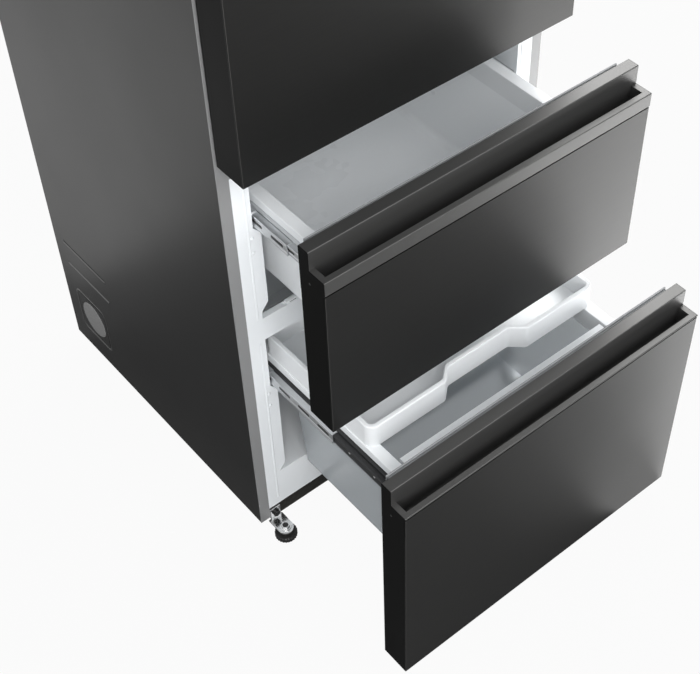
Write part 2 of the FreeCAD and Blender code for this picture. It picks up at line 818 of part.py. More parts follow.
def build_fan():
    bore = "shaft_radius + pin_play"
    fan = turned("fan", [(bore, "0"), ("hub_radius", "0"), ("hub_radius", "fan_depth"), (bore, "fan_depth")])
    # Each blade slants across the depth of the hub.
    section = outline(fan, "YZ_Plane", "hub_radius - blade_sheet", [
        ("-blade_sweep / 2", "0"), ("-blade_sweep / 2 + blade_sheet", "0"),
        ("blade_sweep / 2", "fan_depth"), ("blade_sweep / 2 - blade_sheet", "fan_depth")])
    blade = feature(fan, "Pad", section, "fan_radius - hub_radius + blade_sheet")
    repeat_round(fan, blade, FAN_BLADES)
    fan.Placement = Placement(Vector(), TURN["y"])
    keep("evaporator_fan", stand(fan, "0", "shaft_y", "fan_z"))


def open_box(name, x, y, z, wall, corner):
    # A rounded tub with an open top
    outer = rounded(box(name + "_outer", x, y, z), corner, along("z"))
    inner = box(name + "_inner", (f"{x[0]} + {wall}", f"{x[1]} - {wall}"),
                (f"{y[0]} + {wall}", f"{y[1]} - {wall}"), (f"{z[0]} + {wall}", z[1]))
    return cut(name, outer, rounded(inner, f"{corner} - {wall}", along("z")))


def build_fridge_inside():
    shelves = []
    for row in range(SHELVES):
        low = f"fridge_floor + shelf_first + {row} * shelf_spacing"
        shelves.append(box(f"shelf_{row}", across("cavity_half - shelf_play"),
                           ("front_y + shelf_setback", "cavity_back - air_panel_depth"),
                           (low, f"{low} + shelf_glass")))
    keep("glass_shelves", group("shelves", *shelves))
    keep("ceiling_lamp", box("lamp", across("lamp_half"),
                             ("front_y + shelf_setback", "front_y + shelf_setback + lamp_length"),
                             ("fridge_top - lamp_height", "fridge_top")))
    half = "cavity_half - crisper_play"
    low = "fridge_floor + crisper_lift"
    keep("crisper", open_box("crisper_tub", (f"-({half})", half),
                             ("front_y + crisper_setback", "cavity_back - air_panel_depth"),
                             (low, f"{low} + crisper_height"), "crisper_wall", "crisper_corner"))


def face_panel(name, face, low, high):
    sheet = box(name, across("front_half"), (face, f"{face} + face_sheet"), (low, high))
    front = value(face)
    return rounded(sheet, "edge_round",
                   lambda edge: along("z")(edge) and abs(edge.Vertexes[0].Y - front) < NEAR)


def seal(name, back, low, high):
    depth = (back, f"{back} + gasket_gap - gasket_play")
    outer = box(name + "_outer", across("front_half - gasket_side"), depth, (low, high))
    inner = box(name + "_inner", across("front_half - gasket_side - gasket_width"), depth,
                (f"{low} + gasket_width", f"{high} - gasket_width"))
    return cut(name, outer, inner)


def build_door():
    keep("door_panel", face_panel("door_sheet", "door_face", "door_bottom", "door_top"))
    core = box("door_block", across("front_half"), ("door_face + face_sheet", "door_back"),
               ("door_bottom", "door_top"))
    depth = "pin_length + bore_spare"
    bores = []
    for end, start in (("low", "door_bottom"), ("high", f"door_top - ({depth})")):
        place = ("hinge_x", "hinge_y", start)
        bores.append(cylinder(f"bore_{end}", "z", "pin_radius + pin_play", depth, place))
    x = ("-front_half", "-front_half + grip_depth")
    y = ("door_face + grip_setback", "door_face + grip_setback + grip_width")
    z = ("door_bottom + grip_raise", "door_bottom + grip_raise + grip_length")
    pocket = box("grip_pocket", x, y, z)
    keep("door_core", cut("door_body", core, *bores, pocket))
    cup = box("grip_block", x, y, z)
    hollow = box("grip_hollow", (x[0], f"{x[1]} - grip_sheet"),
                 (f"{y[0]} + grip_sheet", f"{y[1]} - grip_sheet"),
                 (f"{z[0]} + grip_sheet", f"{z[1]} - grip_sheet"))
    keep("door_grip", cut("grip_cup", cup, hollow))
    keep("door_gasket", seal("door_seal", "door_back", "door_bottom + gasket_end", "door_top - gasket_end"))
    skin = box("door_skin", across("front_half - skin_margin"), ("door_back", "door_back + skin_sheet"),
               ("door_bottom + skin_margin", "door_top - skin_margin"))
    reach = ("door_back", "front_y + dyke_reach")
    bank = box("dyke_outer", across("dyke_half"), reach, ("dyke_low", "dyke_high"))
    hollow = box("dyke_inner", across("dyke_half - dyke_width"), reach,
                 ("dyke_low + dyke_width", "dyke_high - dyke_width"))
    dyke = cut("dyke", rounded(bank, "liner_corner", along("y")), hollow)
    keep("door_liner", fuse("door_lining", skin, dyke))
    bins = []
    half = "dyke_half - dyke_width - door_bin_play"
    y = ("door_back + skin_sheet", "door_back + skin_sheet + door_bin_depth")
    for row in range(DOOR_BINS):
        foot = f"dyke_low + dyke_width + door_bin_first + {row} * door_bin_spacing"
        bins.append(open_box(f"door_bin_{row}", (f"-({half})", half), y, (foot, f"{foot} + door_bin_height"),
                             "door_bin_wall", "liner_corner"))
    keep("door_bins", group("bins", *bins))


def build_hinges():
    side = ("hinge_x + hinge_nose - hinge_width", "hinge_x + hinge_nose")
    plate = box("hinge_top", side, ("hinge_y - hinge_nose", "front_y + hinge_tail"),
                ("case_top", "case_top + hinge_plate"))
    pin = cylinder("pin_top", "z", "pin_radius", "pin_length + door_drop",
                   ("hinge_x", "hinge_y", "door_top - pin_length"))
    keep("top_hinge", fuse("hinge_high", plate, pin))
    x = ("hinge_x + hinge_nose - hinge_width - cap_margin - cap_wall", "half_width - case_sheet")
    y = ("hinge_y - hinge_nose - cap_margin - cap_wall", "front_y + hinge_tail + cap_margin + cap_wall")
    cap = rounded(box("cap_block", x, y, ("case_top", "case_top + cap_height")), "cap_wall", along("z"))
    hollow = box("cap_hollow", (f"{x[0]} + cap_wall", "hinge_x + hinge_nose"),
                 (f"{y[0]} + cap_wall", f"{y[1]} - cap_wall"), ("case_top", "case_top + cap_height - cap_wall"))
    keep("hinge_cover", cut("cap", cap, hollow))
    leg = box("bracket_leg", ("hinge_x + hinge_nose - bracket_leg", "hinge_x + hinge_nose"),
              ("front_y - bracket_plate", "front_y"), ("upper_top + leg_clear", "upper_top + bracket_rise"))
    arm = box("bracket_arm", ("hinge_x - hinge_nose", "hinge_x + hinge_nose"),
              ("hinge_y - hinge_nose", "front_y"), ("bracket_z", "bracket_z + bracket_plate"))
    top = "bracket_z + bracket_plate"
    place = ("hinge_x", "hinge_y", top)
    collar = cylinder("bracket_collar", "z", "collar_radius", f"door_bottom - collar_play - ({top})", place)
    pin = cylinder("pin_low", "z", "pin_radius", f"door_bottom + pin_length - ({top})", place)
    keep("middle_hinge", fuse("hinge_middle", leg, arm, collar, pin))
    screws = []
    for i in range(TOP_SCREWS):
        place = ("hinge_x - hinge_nose / 2", f"front_y + screw_first + {i} * screw_spacing",
                 "case_top + hinge_plate")
        screws.append(cylinder("screw_top", "z", "screw_radius", "screw_head", place))
    for i in range(LEG_SCREWS):
        place = (f"hinge_x - hinge_nose - leg_screw_first - {i} * leg_screw_spacing",
                 "front_y - bracket_plate - screw_head", "upper_top + bracket_rise / 2")
        screws.append(cylinder("screw_leg", "y", "screw_radius", "screw_head", place))
    bolt = cylinder("bracket_bolt", "y", "bolt_radius", "bolt_head",
                    ("-foot_x", "front_y - eye_plate - bolt_head", "eye_z + bolt_raise"))
    keep("bracket_screws", group("screws", *screws, bolt, mirrored(bolt)))


def channel(x, z, sheet):
    # C section open towards the middle of the cabinet
    return [(x[0], z[0]), (x[1], z[0]), (x[1], f"{z[0]} + {sheet}"), (f"{x[0]} + {sheet}", f"{z[0]} + {sheet}"),
            (f"{x[0]} + {sheet}", f"{z[1]} - {sheet}"), (x[1], f"{z[1]} - {sheet}"), (x[1], z[1]), (x[0], z[1])]


def along_y(name, points, front, length):
    return extruded(name, "XZ_Plane", f"-({front}) - {length}", points, length)


def build_slides(level, back, opened):
    top = f"{level}_rim - rim_height - slide_play"
    low = f"{top} - slide_height"
    tip = "-cavity_half + slide_depth"
    start = "front_y + slide_setback"
    section = channel(("-cavity_half", tip), (low, top), "slide_sheet")
    rail = along_y(f"{level}_rail", section, start, "slide_length")
    keep(f"{level}_rails", pair(f"{level}_rail_pair", rail))
    section = channel(("-cavity_half + nest", tip), (f"{low} + nest", f"{top} - nest"), "slide_sheet")
    runner = along_y(f"{level}_runner", section, f"{start} - {opened} / 2", "slide_length")
    keep(f"{level}_runners", pair(f"{level}_runner_pair", runner))
    ledge = f"{level}_rim - rim_height"
    points = [("-cavity_half + 2 * nest", f"{low} + 2 * nest"), ("-arm_in", f"{low} + 2 * nest"),
              ("-arm_in", f"{ledge} - arm_sheet"), ("-ledge_in", f"{ledge} - arm_sheet"), ("-ledge_in", ledge),
              ("-arm_out", ledge), ("-arm_out", f"{top} - 2 * nest"),
              ("-cavity_half + 2 * nest", f"{top} - 2 * nest")]
    arm = along_y(f"{level}_arm", points, back, "slide_length")
    keep(f"{level}_arms", pair(f"{level}_arm_pair", arm))


def build_front(level, back, liner_span, seal_low):
    face = f"{back} - front_thickness"
    low, lip, top = f"{level}_bottom", f"{level}_lip", f"{level}_top"
    floor = f"{lip} - trough_depth - trough_floor"
    seam = f"{lip} - {level}_trim"
    keep(f"{level}_panel", face_panel(f"{level}_sheet", face, low, f"{seam} - seam_gap"))
    keep(f"{level}_core", box(f"{level}_block", across("front_half"), (f"{face} + face_sheet", back),
                              (low, floor)))
    inside = f"{back} - grip_wall"
    points = [(f"{face} + face_sheet", floor), (f"{face} + face_sheet", seam), (face, seam), (face, lip),
              (inside, lip), (inside, top), (back, top), (back, floor)]
    grip = extruded(f"{level}_grip", "YZ_Plane", "-front_half", points, "2 * front_half")
    trough = outline(grip, "XY_Plane", lip, [
        ("-front_half + end_wall", f"{face} + lip_thickness"),
        ("front_half - end_wall", f"{face} + lip_thickness"),
        ("front_half - end_wall", inside), ("-front_half + end_wall", inside)])
    feature(grip, "Pocket", trough, "trough_depth")
    well = value(f"{lip} - trough_depth")
    smooth(grip, "trough_round", lambda edge: along("x")(edge) and abs(edge.Vertexes[0].Z - well) < NEAR)
    crests = [(value(face), value(lip)), (value(inside), value(top)), (value(back), value(top))]

    def crest(edge):
        start = edge.Vertexes[0]
        return along("x")(edge) and any(abs(start.Y - y) + abs(start.Z - z) < NEAR for y, z in crests)
    smooth(grip, "edge_round", crest)
    keep(f"{level}_handle", grip)
    keep(f"{level}_gasket", seal(f"{level}_seal", back, seal_low, f"{top} - gasket_end"))
    inner = box(f"{level}_pan", across("front_liner_half"), (back, f"{back} + front_liner"), liner_span)
    keep(f"{level}_liner", rounded(inner, "liner_corner", along("y")))


def tub(name, y, z, half, radius):
    # A tapered block with rounded uprights and foot
    block = tapered(name, y, z, half, "bin_lean")
    foot = value(z[0])

    def chosen(edge):
        return along("z")(edge) or all(abs(vertex.Z - foot) < NEAR for vertex in edge.Vertexes)
    return rounded(block, radius, chosen)


def rim_block(level, front):
    block = box(f"{level}_rim_block", across("rim_half"), (front, f"{front} + bin_length"),
                (f"{level}_rim - rim_height", f"{level}_rim"))
    return rounded(block, "bin_corner", along("z"))


def build_upper_bin():
    front = "upper_back + front_liner"
    back = f"{front} + bin_length"
    low = "upper_rim - upper_bin_depth"
    outer = tub("upper_tub", (f"{front} + bin_wall", f"{back} - rim_width + bin_wall"),
                (low, "upper_rim - rim_height"), ("bin_top_half", "bin_foot_half"), "bin_corner")
    inner = tub("upper_space", (f"{front} + 2 * bin_wall", f"{back} - rim_width"),
                (f"{low} + bin_wall", "upper_rim"), ("bin_top_half - bin_wall", "bin_foot_half - bin_wall"),
                "bin_corner - bin_wall")
    shell = fuse("upper_shell", outer, rim_block("upper", front))
    keep("upper_bin", cut("upper_bin_tub", shell, inner))


def build_lower_bin():
    front = "lower_back + front_liner"
    back = f"{front} + bin_length"
    low = "lower_rim - lower_bin_depth"
    top = "lower_rim - rim_height"
    shelf = "lower_rim - shelf_depth"
    # The rear of the bin is shallow, to pass over the machine compartment.
    slope = f"bin_draft * ({top} - ({shelf})) / ({top} - ({low}))"
    deep = tapered("lower_tub", (f"{front} + bin_wall", f"{front} + deep_length"), (low, top),
                   ("bin_top_half", "bin_foot_half"), "bin_lean")
    shallow = tapered("lower_tub_rear", (f"{front} + deep_length / 2", f"{back} - rim_width + bin_wall"),
                      (shelf, top), ("bin_top_half", f"bin_top_half - {slope}"), "bin_lean")
    hollow = tapered("lower_space", (f"{front} + 2 * bin_wall", f"{front} + deep_length - bin_wall"),
                     (f"{low} + bin_wall", "lower_rim"),
                     ("bin_top_half - bin_wall", "bin_foot_half - bin_wall"), "bin_lean")
    ledge = f"bin_draft * (lower_rim - ({shelf} + bin_wall)) / (lower_rim - ({low} + bin_wall))"
    hollow_rear = tapered("lower_space_rear", (f"{front} + deep_length / 2", f"{back} - rim_width"),
                          (f"{shelf} + bin_wall", "lower_rim"),
                          ("bin_top_half - bin_wall", f"bin_top_half - bin_wall - {ledge}"), "bin_lean")
    shell = fuse("lower_shell", deep, shallow, rim_block("lower", front))
    keep("lower_bin", cut("lower_bin_tub", shell, hollow, hollow_rear))


def tray_plan(inset):
    front = f"tray_front + {inset}"
    back = f"tray_front + tray_length - {inset}"
    middle = f"{front} + pull_depth"
    side = f"tray_half - {inset}"
    bend = "pull_half + pull_slope"
    return [(f"-({side})", front), (f"-({bend})", front), ("-pull_half", middle), ("pull_half", middle),
            (bend, front), (side, front), (side, back), (f"-({side})", back)]


def build_tray():
    tray = extruded("tray", "XY_Plane", "lower_rim", tray_plan("0"), "tray_height")
    well = outline(tray, "XY_Plane", "lower_rim + tray_height", tray_plan("tray_wall"))
    feature(tray, "Pocket", well, "tray_height - tray_floor")
    rounds = {"tray_half": "tray_corner", "tray_half - tray_wall": "tray_corner - tray_wall",
              "pull_half": "pull_round", "pull_half + pull_slope": "pull_round"}
    for side, radius in rounds.items():
        place = value(side)
        smooth(tray, radius, lambda edge: along("z")(edge) and abs(abs(edge.Vertexes[0].X) - place) < NEAR)
    brim = value("lower_rim + tray_height")
    smooth(tray, "tray_round", lambda edge: all(abs(vertex.Z - brim) < NEAR for vertex in edge.Vertexes))
    keep("lower_tray", tray)


build_case()
build_insulation()
build_fridge_liner()
build_freezer_liner()
build_guides()
build_base()
build_feet()
build_machine()
build_freezer_air()
build_fan()
build_fridge_inside()
build_door()
build_hinges()
build_slides("upper", "upper_back", "upper_open")
build_slides("lower", "lower_back", "lower_open")
build_front("upper", "upper_back", ("bar_top + gasket_end", "freezer_top - gasket_end"),
            "upper_bottom + gasket_end")
build_front("lower", "lower_back", ("freezer_floor + gasket_end", "bar_bottom - gasket_end"),
            "lower_bottom + gasket_raise")
build_upper_bin()
build_lower_bin()
build_tray()
doc.recompute()

faults = [thing.Label for thing in doc.Objects if {"Invalid", "Error"} & set(thing.State)]
for node in nodes:
    if node.Shape.isNull() or not node.Shape.isValid() or not node.Shape.Solids:
        faults.append(node.Label)
if faults:
    raise RuntimeError("failed: " + ", ".join(faults))

os.makedirs("parts", exist_ok=True)
for node in nodes:
    node.Shape.exportStep(f"parts/{node.Label}.step")
    print(f"{node.Label}: {len(node.Shape.Solids)} solids, {node.Shape.Volume / 1000:.1f} cm3")
print(len(nodes), "nodes")
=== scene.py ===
import bmesh
import bpy
import math
from mathutils import Matrix, Vector


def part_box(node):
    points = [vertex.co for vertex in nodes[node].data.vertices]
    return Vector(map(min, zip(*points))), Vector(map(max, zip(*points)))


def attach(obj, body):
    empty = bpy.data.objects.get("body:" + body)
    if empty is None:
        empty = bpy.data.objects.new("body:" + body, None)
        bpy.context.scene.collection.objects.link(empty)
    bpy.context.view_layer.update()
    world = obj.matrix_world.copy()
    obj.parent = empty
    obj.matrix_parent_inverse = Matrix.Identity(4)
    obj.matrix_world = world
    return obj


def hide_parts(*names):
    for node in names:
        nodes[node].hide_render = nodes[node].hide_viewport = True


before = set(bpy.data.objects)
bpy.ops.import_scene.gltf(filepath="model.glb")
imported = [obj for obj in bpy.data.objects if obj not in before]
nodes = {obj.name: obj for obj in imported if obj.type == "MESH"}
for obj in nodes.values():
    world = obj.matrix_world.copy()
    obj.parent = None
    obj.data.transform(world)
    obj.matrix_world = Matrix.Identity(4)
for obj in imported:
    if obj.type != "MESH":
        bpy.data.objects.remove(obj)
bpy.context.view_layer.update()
scene = bpy.context.scene
quarter = math.pi / 2
sameSpot = 1e-6  # points closer than this are one
flatTurn = math.radians(1)  # faces that turn less than this are one


def addNode(tree, kind, inputs=None, **settings):
    # an input is a value or another node's output
    node = tree.nodes.new(kind)
    for key, setting in settings.items():
        setattr(node, key, setting)
    for key, source in (inputs or {}).items():
        if isinstance(source, bpy.types.NodeSocket):
            tree.links.new(source, node.inputs[key])
        else:
            node.inputs[key].default_value = source
    return node


def math2(tree, operation, first, second=0.0):
    return addNode(tree, "ShaderNodeMath", {0: first, 1: second}, operation=operation).outputs[0]


def mixColour(tree, mask, under, over):
    return addNode(tree, "ShaderNodeMix", {0: mask, 6: under, 7: (*over, 1.0)}, data_type="RGBA").outputs[2]


def clearedTree(owner):
    owner.use_nodes = True
    owner.node_tree.nodes.clear()
    return owner.node_tree


def startTree(name, kind, inputs, outputs):
    # an input has a label, a kind of socket and a start value
    tree = bpy.data.node_groups.new(name, kind)
    for label, socketKind in outputs:
        tree.interface.new_socket(label, in_out="OUTPUT", socket_type="NodeSocket" + socketKind)
    keys = {}
    for label, socketKind, start in inputs:
        socket = tree.interface.new_socket(label, in_out="INPUT", socket_type="NodeSocket" + socketKind)
        if start is not None:
            socket.default_value = start
        keys[label] = socket.identifier
    return tree, addNode(tree, "NodeGroupInput").outputs, addNode(tree, "NodeGroupOutput").inputs, keys


def grainGroup(name):
    # a fine texture pulled along one direction, and a broad one for colour and gloss
    tree, given, out = startTree(
        name, "ShaderNodeTree",
        [("Vector", "Vector", None), ("Stretch", "Vector", (1.0, 1.0, 1.0)),
         ("Colour", "Color", (0.5, 0.5, 0.5, 1.0)), ("Fine", "Float", 600.0), ("Broad", "Float", 5.0),
         ("Streak", "Float", 0.05), ("Mottle", "Float", 0.05), ("Rough", "Float", 0.4), ("Spread", "Float", 0.05)],
        [("Colour", "Color"), ("Roughness", "Float"), ("Height", "Float")])[:3]
    pulled = addNode(tree, "ShaderNodeVectorMath", {0: given["Vector"], 1: given["Stretch"]}, operation="MULTIPLY")
    fine = addNode(tree, "ShaderNodeTexNoise", {
        "Vector": pulled.outputs[0], "Scale": given["Fine"], "Detail": 3.0, "Roughness": 0.6})
    broad = addNode(tree, "ShaderNodeTexNoise", {
        "Vector": given["Vector"], "Scale": given["Broad"], "Detail": 4.0, "Roughness": 0.55})

    def swing(noise, amount):
        # either way from the middle of the noise
        return math2(tree, "MULTIPLY", math2(tree, "SUBTRACT", noise.outputs[0], 0.5), given[amount])
    bright = math2(tree, "ADD", math2(tree, "ADD", swing(fine, "Streak"), swing(broad, "Mottle")), 1.0)
    tint = addNode(tree, "ShaderNodeHueSaturation", {"Color": given["Colour"], "Value": bright})
    tree.links.new(tint.outputs[0], out["Colour"])
    tree.links.new(math2(tree, "ADD", given["Rough"], swing(broad, "Spread")), out["Roughness"])
    tree.links.new(fine.outputs[0], out["Height"])
    return tree


def dustGroup(name):
    # settles low down, thinning out with height above the floor
    tree, given, out = startTree(
        name, "ShaderNodeTree",
        [("Vector", "Vector", None), ("Reach", "Float", 0.05), ("Amount", "Float", 0.3)],
        [("Mask", "Float")])[:3]
    split = addNode(tree, "ShaderNodeSeparateXYZ", {0: given["Vector"]})
    low = addNode(tree, "ShaderNodeMapRange", {
        "Value": split.outputs["Z"], "From Min": 0.0, "From Max": given["Reach"], "To Min": 1.0, "To Max": 0.0})
    specks = addNode(tree, "ShaderNodeTexNoise", {
        "Vector": given["Vector"], "Scale": 160.0, "Detail": 5.0, "Roughness": 0.7})
    patchy = math2(tree, "MULTIPLY", low.outputs[0], specks.outputs[0])
    tree.links.new(math2(tree, "MULTIPLY", patchy, given["Amount"]), out["Mask"])
    return tree


surfaceGrain = grainGroup("surfaceGrain")
settledDust = dustGroup("settledDust")
floorDust = {"reach": 0.16, "colour": (0.42, 0.40, 0.37)}
grainDepth = 0.001

finishes = {
    "casePaint": {"colour": (0.031, 0.0305, 0.0296), "metal": 0.90, "rough": 0.42, "spread": 0.06,
                  "fine": 900, "streak": 0.10, "mottle": 0.06, "bump": 0.03, "dust": 0.10},
    "zincSheet": {"colour": (0.52, 0.53, 0.54), "metal": 0.90, "rough": 0.46, "spread": 0.16,
                  "fine": 90, "streak": 0.16, "mottle": 0.10, "bump": 0.02, "dust": 0.20},
    "flangePaint": {"colour": (0.24, 0.24, 0.24), "metal": 0.0, "rough": 0.42, "spread": 0.06,
                    "fine": 800, "streak": 0.08, "mottle": 0.04, "bump": 0.02},
    "darkSteel": {"colour": (0.030, 0.0296, 0.0286), "metal": 0.85, "rough": 0.42, "spread": 0.05,
                  "brush": 0.6, "brushTurn": 0.25, "fine": 700, "stretch": (0.02, 1.0, 1.0),
                  "streak": 0.22, "mottle": 0.04, "bump": 0.03},
    "darkSides": {"colour": (0.003, 0.003, 0.0028), "gleam": 0.05, "rough": 0.48, "spread": 0.06,
                  "fine": 800, "streak": 0.10, "mottle": 0.06, "bump": 0.04},
    "gripTrim": {"colour": (0.090, 0.089, 0.087), "metal": 0.75, "rough": 0.44, "spread": 0.05,
                 "fine": 900, "stretch": (0.05, 1.0, 1.0), "streak": 0.12, "mottle": 0.04, "bump": 0.02},
    "sealRubber": {"colour": (0.27, 0.275, 0.28), "rough": 0.62, "spread": 0.10,
                   "fine": 500, "streak": 0.10, "mottle": 0.10, "bump": 0.06},
    "linerWhite": {"colour": (0.80, 0.82, 0.835), "rough": 0.36, "spread": 0.06,
                   "fine": 420, "streak": 0.015, "mottle": 0.02, "bump": 0.025},
    "binClear": {"colour": (0.62, 0.65, 0.67), "rough": 0.22, "spread": 0.10, "through": 0.50, "ior": 1.35,
                 "fine": 300, "streak": 0.02, "mottle": 0.03, "bump": 0.03},
    "binMilk": {"colour": (0.93, 0.945, 0.955), "rough": 0.28, "spread": 0.08,
                "fine": 300, "streak": 0.02, "mottle": 0.03, "bump": 0.03},
    # lighter copy of the side panel paint for the pressed lines: a painted highlight
    "pressedEdgeHighlight": {"colour": (0.125, 0.123, 0.120), "metal": 0.90, "rough": 0.38, "spread": 0.06,
                    "fine": 900, "streak": 0.10, "mottle": 0.06, "bump": 0.02},
    "padGrey": {"colour": (0.200, 0.197, 0.193), "rough": 0.60, "spread": 0.10,
                "fine": 420, "streak": 0.16, "mottle": 0.06, "bump": 0.08},
    "trayWhite": {"colour": (0.82, 0.835, 0.845), "rough": 0.32, "spread": 0.06,
                  "fine": 420, "streak": 0.015, "mottle": 0.02, "bump": 0.02},
    "slideSteel": {"colour": (0.66, 0.67, 0.68), "metal": 1.0, "rough": 0.30, "spread": 0.08,
                   "fine": 500, "stretch": (1.0, 0.03, 1.0), "streak": 0.18, "mottle": 0.06, "bump": 0.02},
    "armBlack": {"colour": (0.020, 0.020, 0.021), "rough": 0.40, "spread": 0.08,
                 "fine": 600, "streak": 0.10, "mottle": 0.08, "bump": 0.03},
    "shelfGlass": {"colour": (0.90, 0.97, 0.955), "rough": 0.03, "spread": 0.02, "through": 1.0, "ior": 1.5,
                   "fine": 60, "streak": 0.01, "mottle": 0.01, "bump": 0.002},
    "lampCover": {"colour": (0.90, 0.91, 0.90), "rough": 0.42, "spread": 0.06, "through": 0.30, "ior": 1.5,
                  "fine": 500, "streak": 0.01, "mottle": 0.02, "bump": 0.03},
    "foamYellow": {"colour": (0.62, 0.50, 0.28), "rough": 0.85, "spread": 0.08,
                   "fine": 260, "streak": 0.30, "mottle": 0.18, "bump": 0.30},
    "bracketChrome": {"colour": (0.88, 0.88, 0.88), "metal": 1.0, "rough": 0.20, "spread": 0.10,
                      "fine": 300, "streak": 0.06, "mottle": 0.08, "bump": 0.01, "dust": 0.12},
    "screwSteel": {"colour": (0.50, 0.50, 0.50), "metal": 1.0, "rough": 0.30, "spread": 0.12,
                   "fine": 700, "streak": 0.16, "mottle": 0.10, "bump": 0.02},
    "boltBlack": {"colour": (0.012, 0.012, 0.0118), "metal": 0.40, "rough": 0.30, "spread": 0.10,
                  "fine": 700, "streak": 0.14, "mottle": 0.10, "bump": 0.03},
    "blackPlastic": {"colour": (0.014, 0.014, 0.014), "rough": 0.42, "spread": 0.12,
                     "fine": 700, "streak": 0.14, "mottle": 0.14, "bump": 0.06, "dust": 0.04},
    "toePaint": {"colour": (0.004, 0.0039, 0.0037), "gleam": 0.1, "rough": 0.46, "spread": 0.08,
                 "fine": 700, "streak": 0.12, "mottle": 0.10, "bump": 0.04, "dust": 0.16},
    "compressorPaint": {"colour": (0.016, 0.016, 0.017), "rough": 0.24, "spread": 0.12,
                        "fine": 240, "streak": 0.08, "mottle": 0.12, "bump": 0.05, "dust": 0.25},
    "coilMetal": {"colour": (0.72, 0.73, 0.74), "metal": 1.0, "rough": 0.34, "spread": 0.12,
                  "fine": 400, "streak": 0.14, "mottle": 0.10, "bump": 0.03},
}


def makeFinish(name, spec):
    finish = bpy.data.materials.new(name)
    finish.diffuse_color = (*spec["colour"], 1.0)
    tree = clearedTree(finish)
    place = addNode(tree, "ShaderNodeTexCoord").outputs["Object"]
    grain = addNode(tree, "ShaderNodeGroup", {
        "Vector": place, "Stretch": spec.get("stretch", (1.0, 1.0, 1.0)), "Colour": (*spec["colour"], 1.0),
        **{key: spec[key.lower()] for key in ("Fine", "Streak", "Mottle", "Rough", "Spread")}},
        node_tree=surfaceGrain)
    colour = grain.outputs["Colour"]
    if "dust" in spec:
        dust = addNode(tree, "ShaderNodeGroup", {
            "Vector": place, "Reach": floorDust["reach"], "Amount": spec["dust"]}, node_tree=settledDust)
        colour = mixColour(tree, dust.outputs["Mask"], colour, floorDust["colour"])
    bump = addNode(tree, "ShaderNodeBump", {
        "Strength": spec["bump"], "Distance": grainDepth, "Height": grain.outputs["Height"]})
    shader = addNode(tree, "ShaderNodeBsdfPrincipled", {
        "Base Color": colour, "Roughness": grain.outputs["Roughness"], "Normal": bump.outputs[0],
        "Metallic": spec.get("metal", 0.0), "Transmission Weight": spec.get("through", 0.0),
        "IOR": spec.get("ior", 1.45), "Specular IOR Level": spec.get("gleam", 0.5),
        "Anisotropic": spec.get("brush", 0.0), "Anisotropic Rotation": spec.get("brushTurn", 0.0)})
    addNode(tree, "ShaderNodeOutputMaterial", {"Surface": shader.outputs[0]})
    return finish


made = {name: makeFinish(name, spec) for name, spec in finishes.items()}

# painted highlight along the upright edges of the face sheets, and dark ends: where across the front, and the
# colour
frontEnds = {
    "edgeHighlight": ((0.2944, 0.2954), (0.06, 0.059, 0.057)), "end": ((0.2954, 0.2970), (0.0035, 0.0035, 0.0033)),
    "worn": {"gripTrim": ["end"], "darkSteel": ["edgeHighlight", "end"]},
}


def addEnds(finish, bands):
    tree = finish.node_tree
    shader, spots = [next(n for n in tree.nodes if n.type == kind) for kind in ("BSDF_PRINCIPLED", "TEX_COORD")]
    split = addNode(tree, "ShaderNodeSeparateXYZ", {0: spots.outputs["Object"]})
    side = math2(tree, "ABSOLUTE", split.outputs["X"])
    base = shader.inputs["Base Color"]
    for (low, high), colour in bands:
        within = addNode(tree, "ShaderNodeMath", {0: side, 1: (low + high) / 2, 2: (high - low) / 2},
                         operation="COMPARE")
        tree.links.new(mixColour(tree, within.outputs[0], base.links[0].from_socket, colour), base)


for finishName, bandNames in frontEnds["worn"].items():
    addEnds(made[finishName], [frontEnds[bandName] for bandName in bandNames])

wornBy = {
    "casePaint": ["side_panel_left", "side_panel_right", "top_panel"],
    "zincSheet": ["back_panel", "base_plate", "machine_bulkhead", "machine_cover", "compressor_plate"],
    "flangePaint": ["front_flange"],
    "darkSteel": ["door_panel", "upper_panel", "lower_panel"],
    "darkSides": ["door_core", "upper_core", "lower_core"],
    "gripTrim": ["upper_handle", "lower_handle", "door_grip"],
    "sealRubber": ["door_gasket", "upper_gasket", "lower_gasket"],
    "linerWhite": ["fridge_liner", "freezer_liner", "drawer_crossbar", "rail_guides", "door_liner",
                   "upper_liner", "lower_liner", "evaporator_cover"],
    "binClear": ["upper_bin", "lower_bin", "crisper", "door_bins"],
    "trayWhite": ["lower_tray"],
    "slideSteel": ["upper_rails", "lower_rails", "upper_runners", "lower_runners", "upper_arms"],
    "armBlack": ["lower_arms"],
    "shelfGlass": ["glass_shelves"],
    "lampCover": ["ceiling_lamp"],
    "foamYellow": ["insulation_foam"],
    "bracketChrome": ["foot_brackets", "middle_hinge", "top_hinge"],
    "boltBlack": ["bracket_screws"],
    "blackPlastic": ["levelling_foot_left", "levelling_foot_right", "rear_roller_left", "rear_roller_right",
                     "hinge_cover", "cord_gland", "fan_motor", "evaporator_fan", "drain_pan"],
    "toePaint": ["toe_plate"],
    "compressorPaint": ["compressor"],
    "coilMetal": ["evaporator"],
}
for finishName, wearers in wornBy.items():
    for wearer in wearers:
        nodes[wearer].data.materials.clear()
        nodes[wearer].data.materials.append(made[finishName])
print("finishes:", len(made))


def millimetres(*sizes):
    return [size / 1000 for size in sizes]


def setDown(outline, first, second):
    # outline in millimetres, moved to its place
    return [(first + a / 1000, second + b / 1000) for a, b in outline]


def mergedCopy(node):
    # copy of a CAD mesh, its loose triangles joined into flat faces
    build = bmesh.new()
    build.from_mesh(nodes[node].data)
    bmesh.ops.remove_doubles(build, verts=build.verts, dist=sameSpot)
    bmesh.ops.dissolve_limit(build, angle_limit=flatTurn, verts=build.verts, edges=build.edges)
    return build


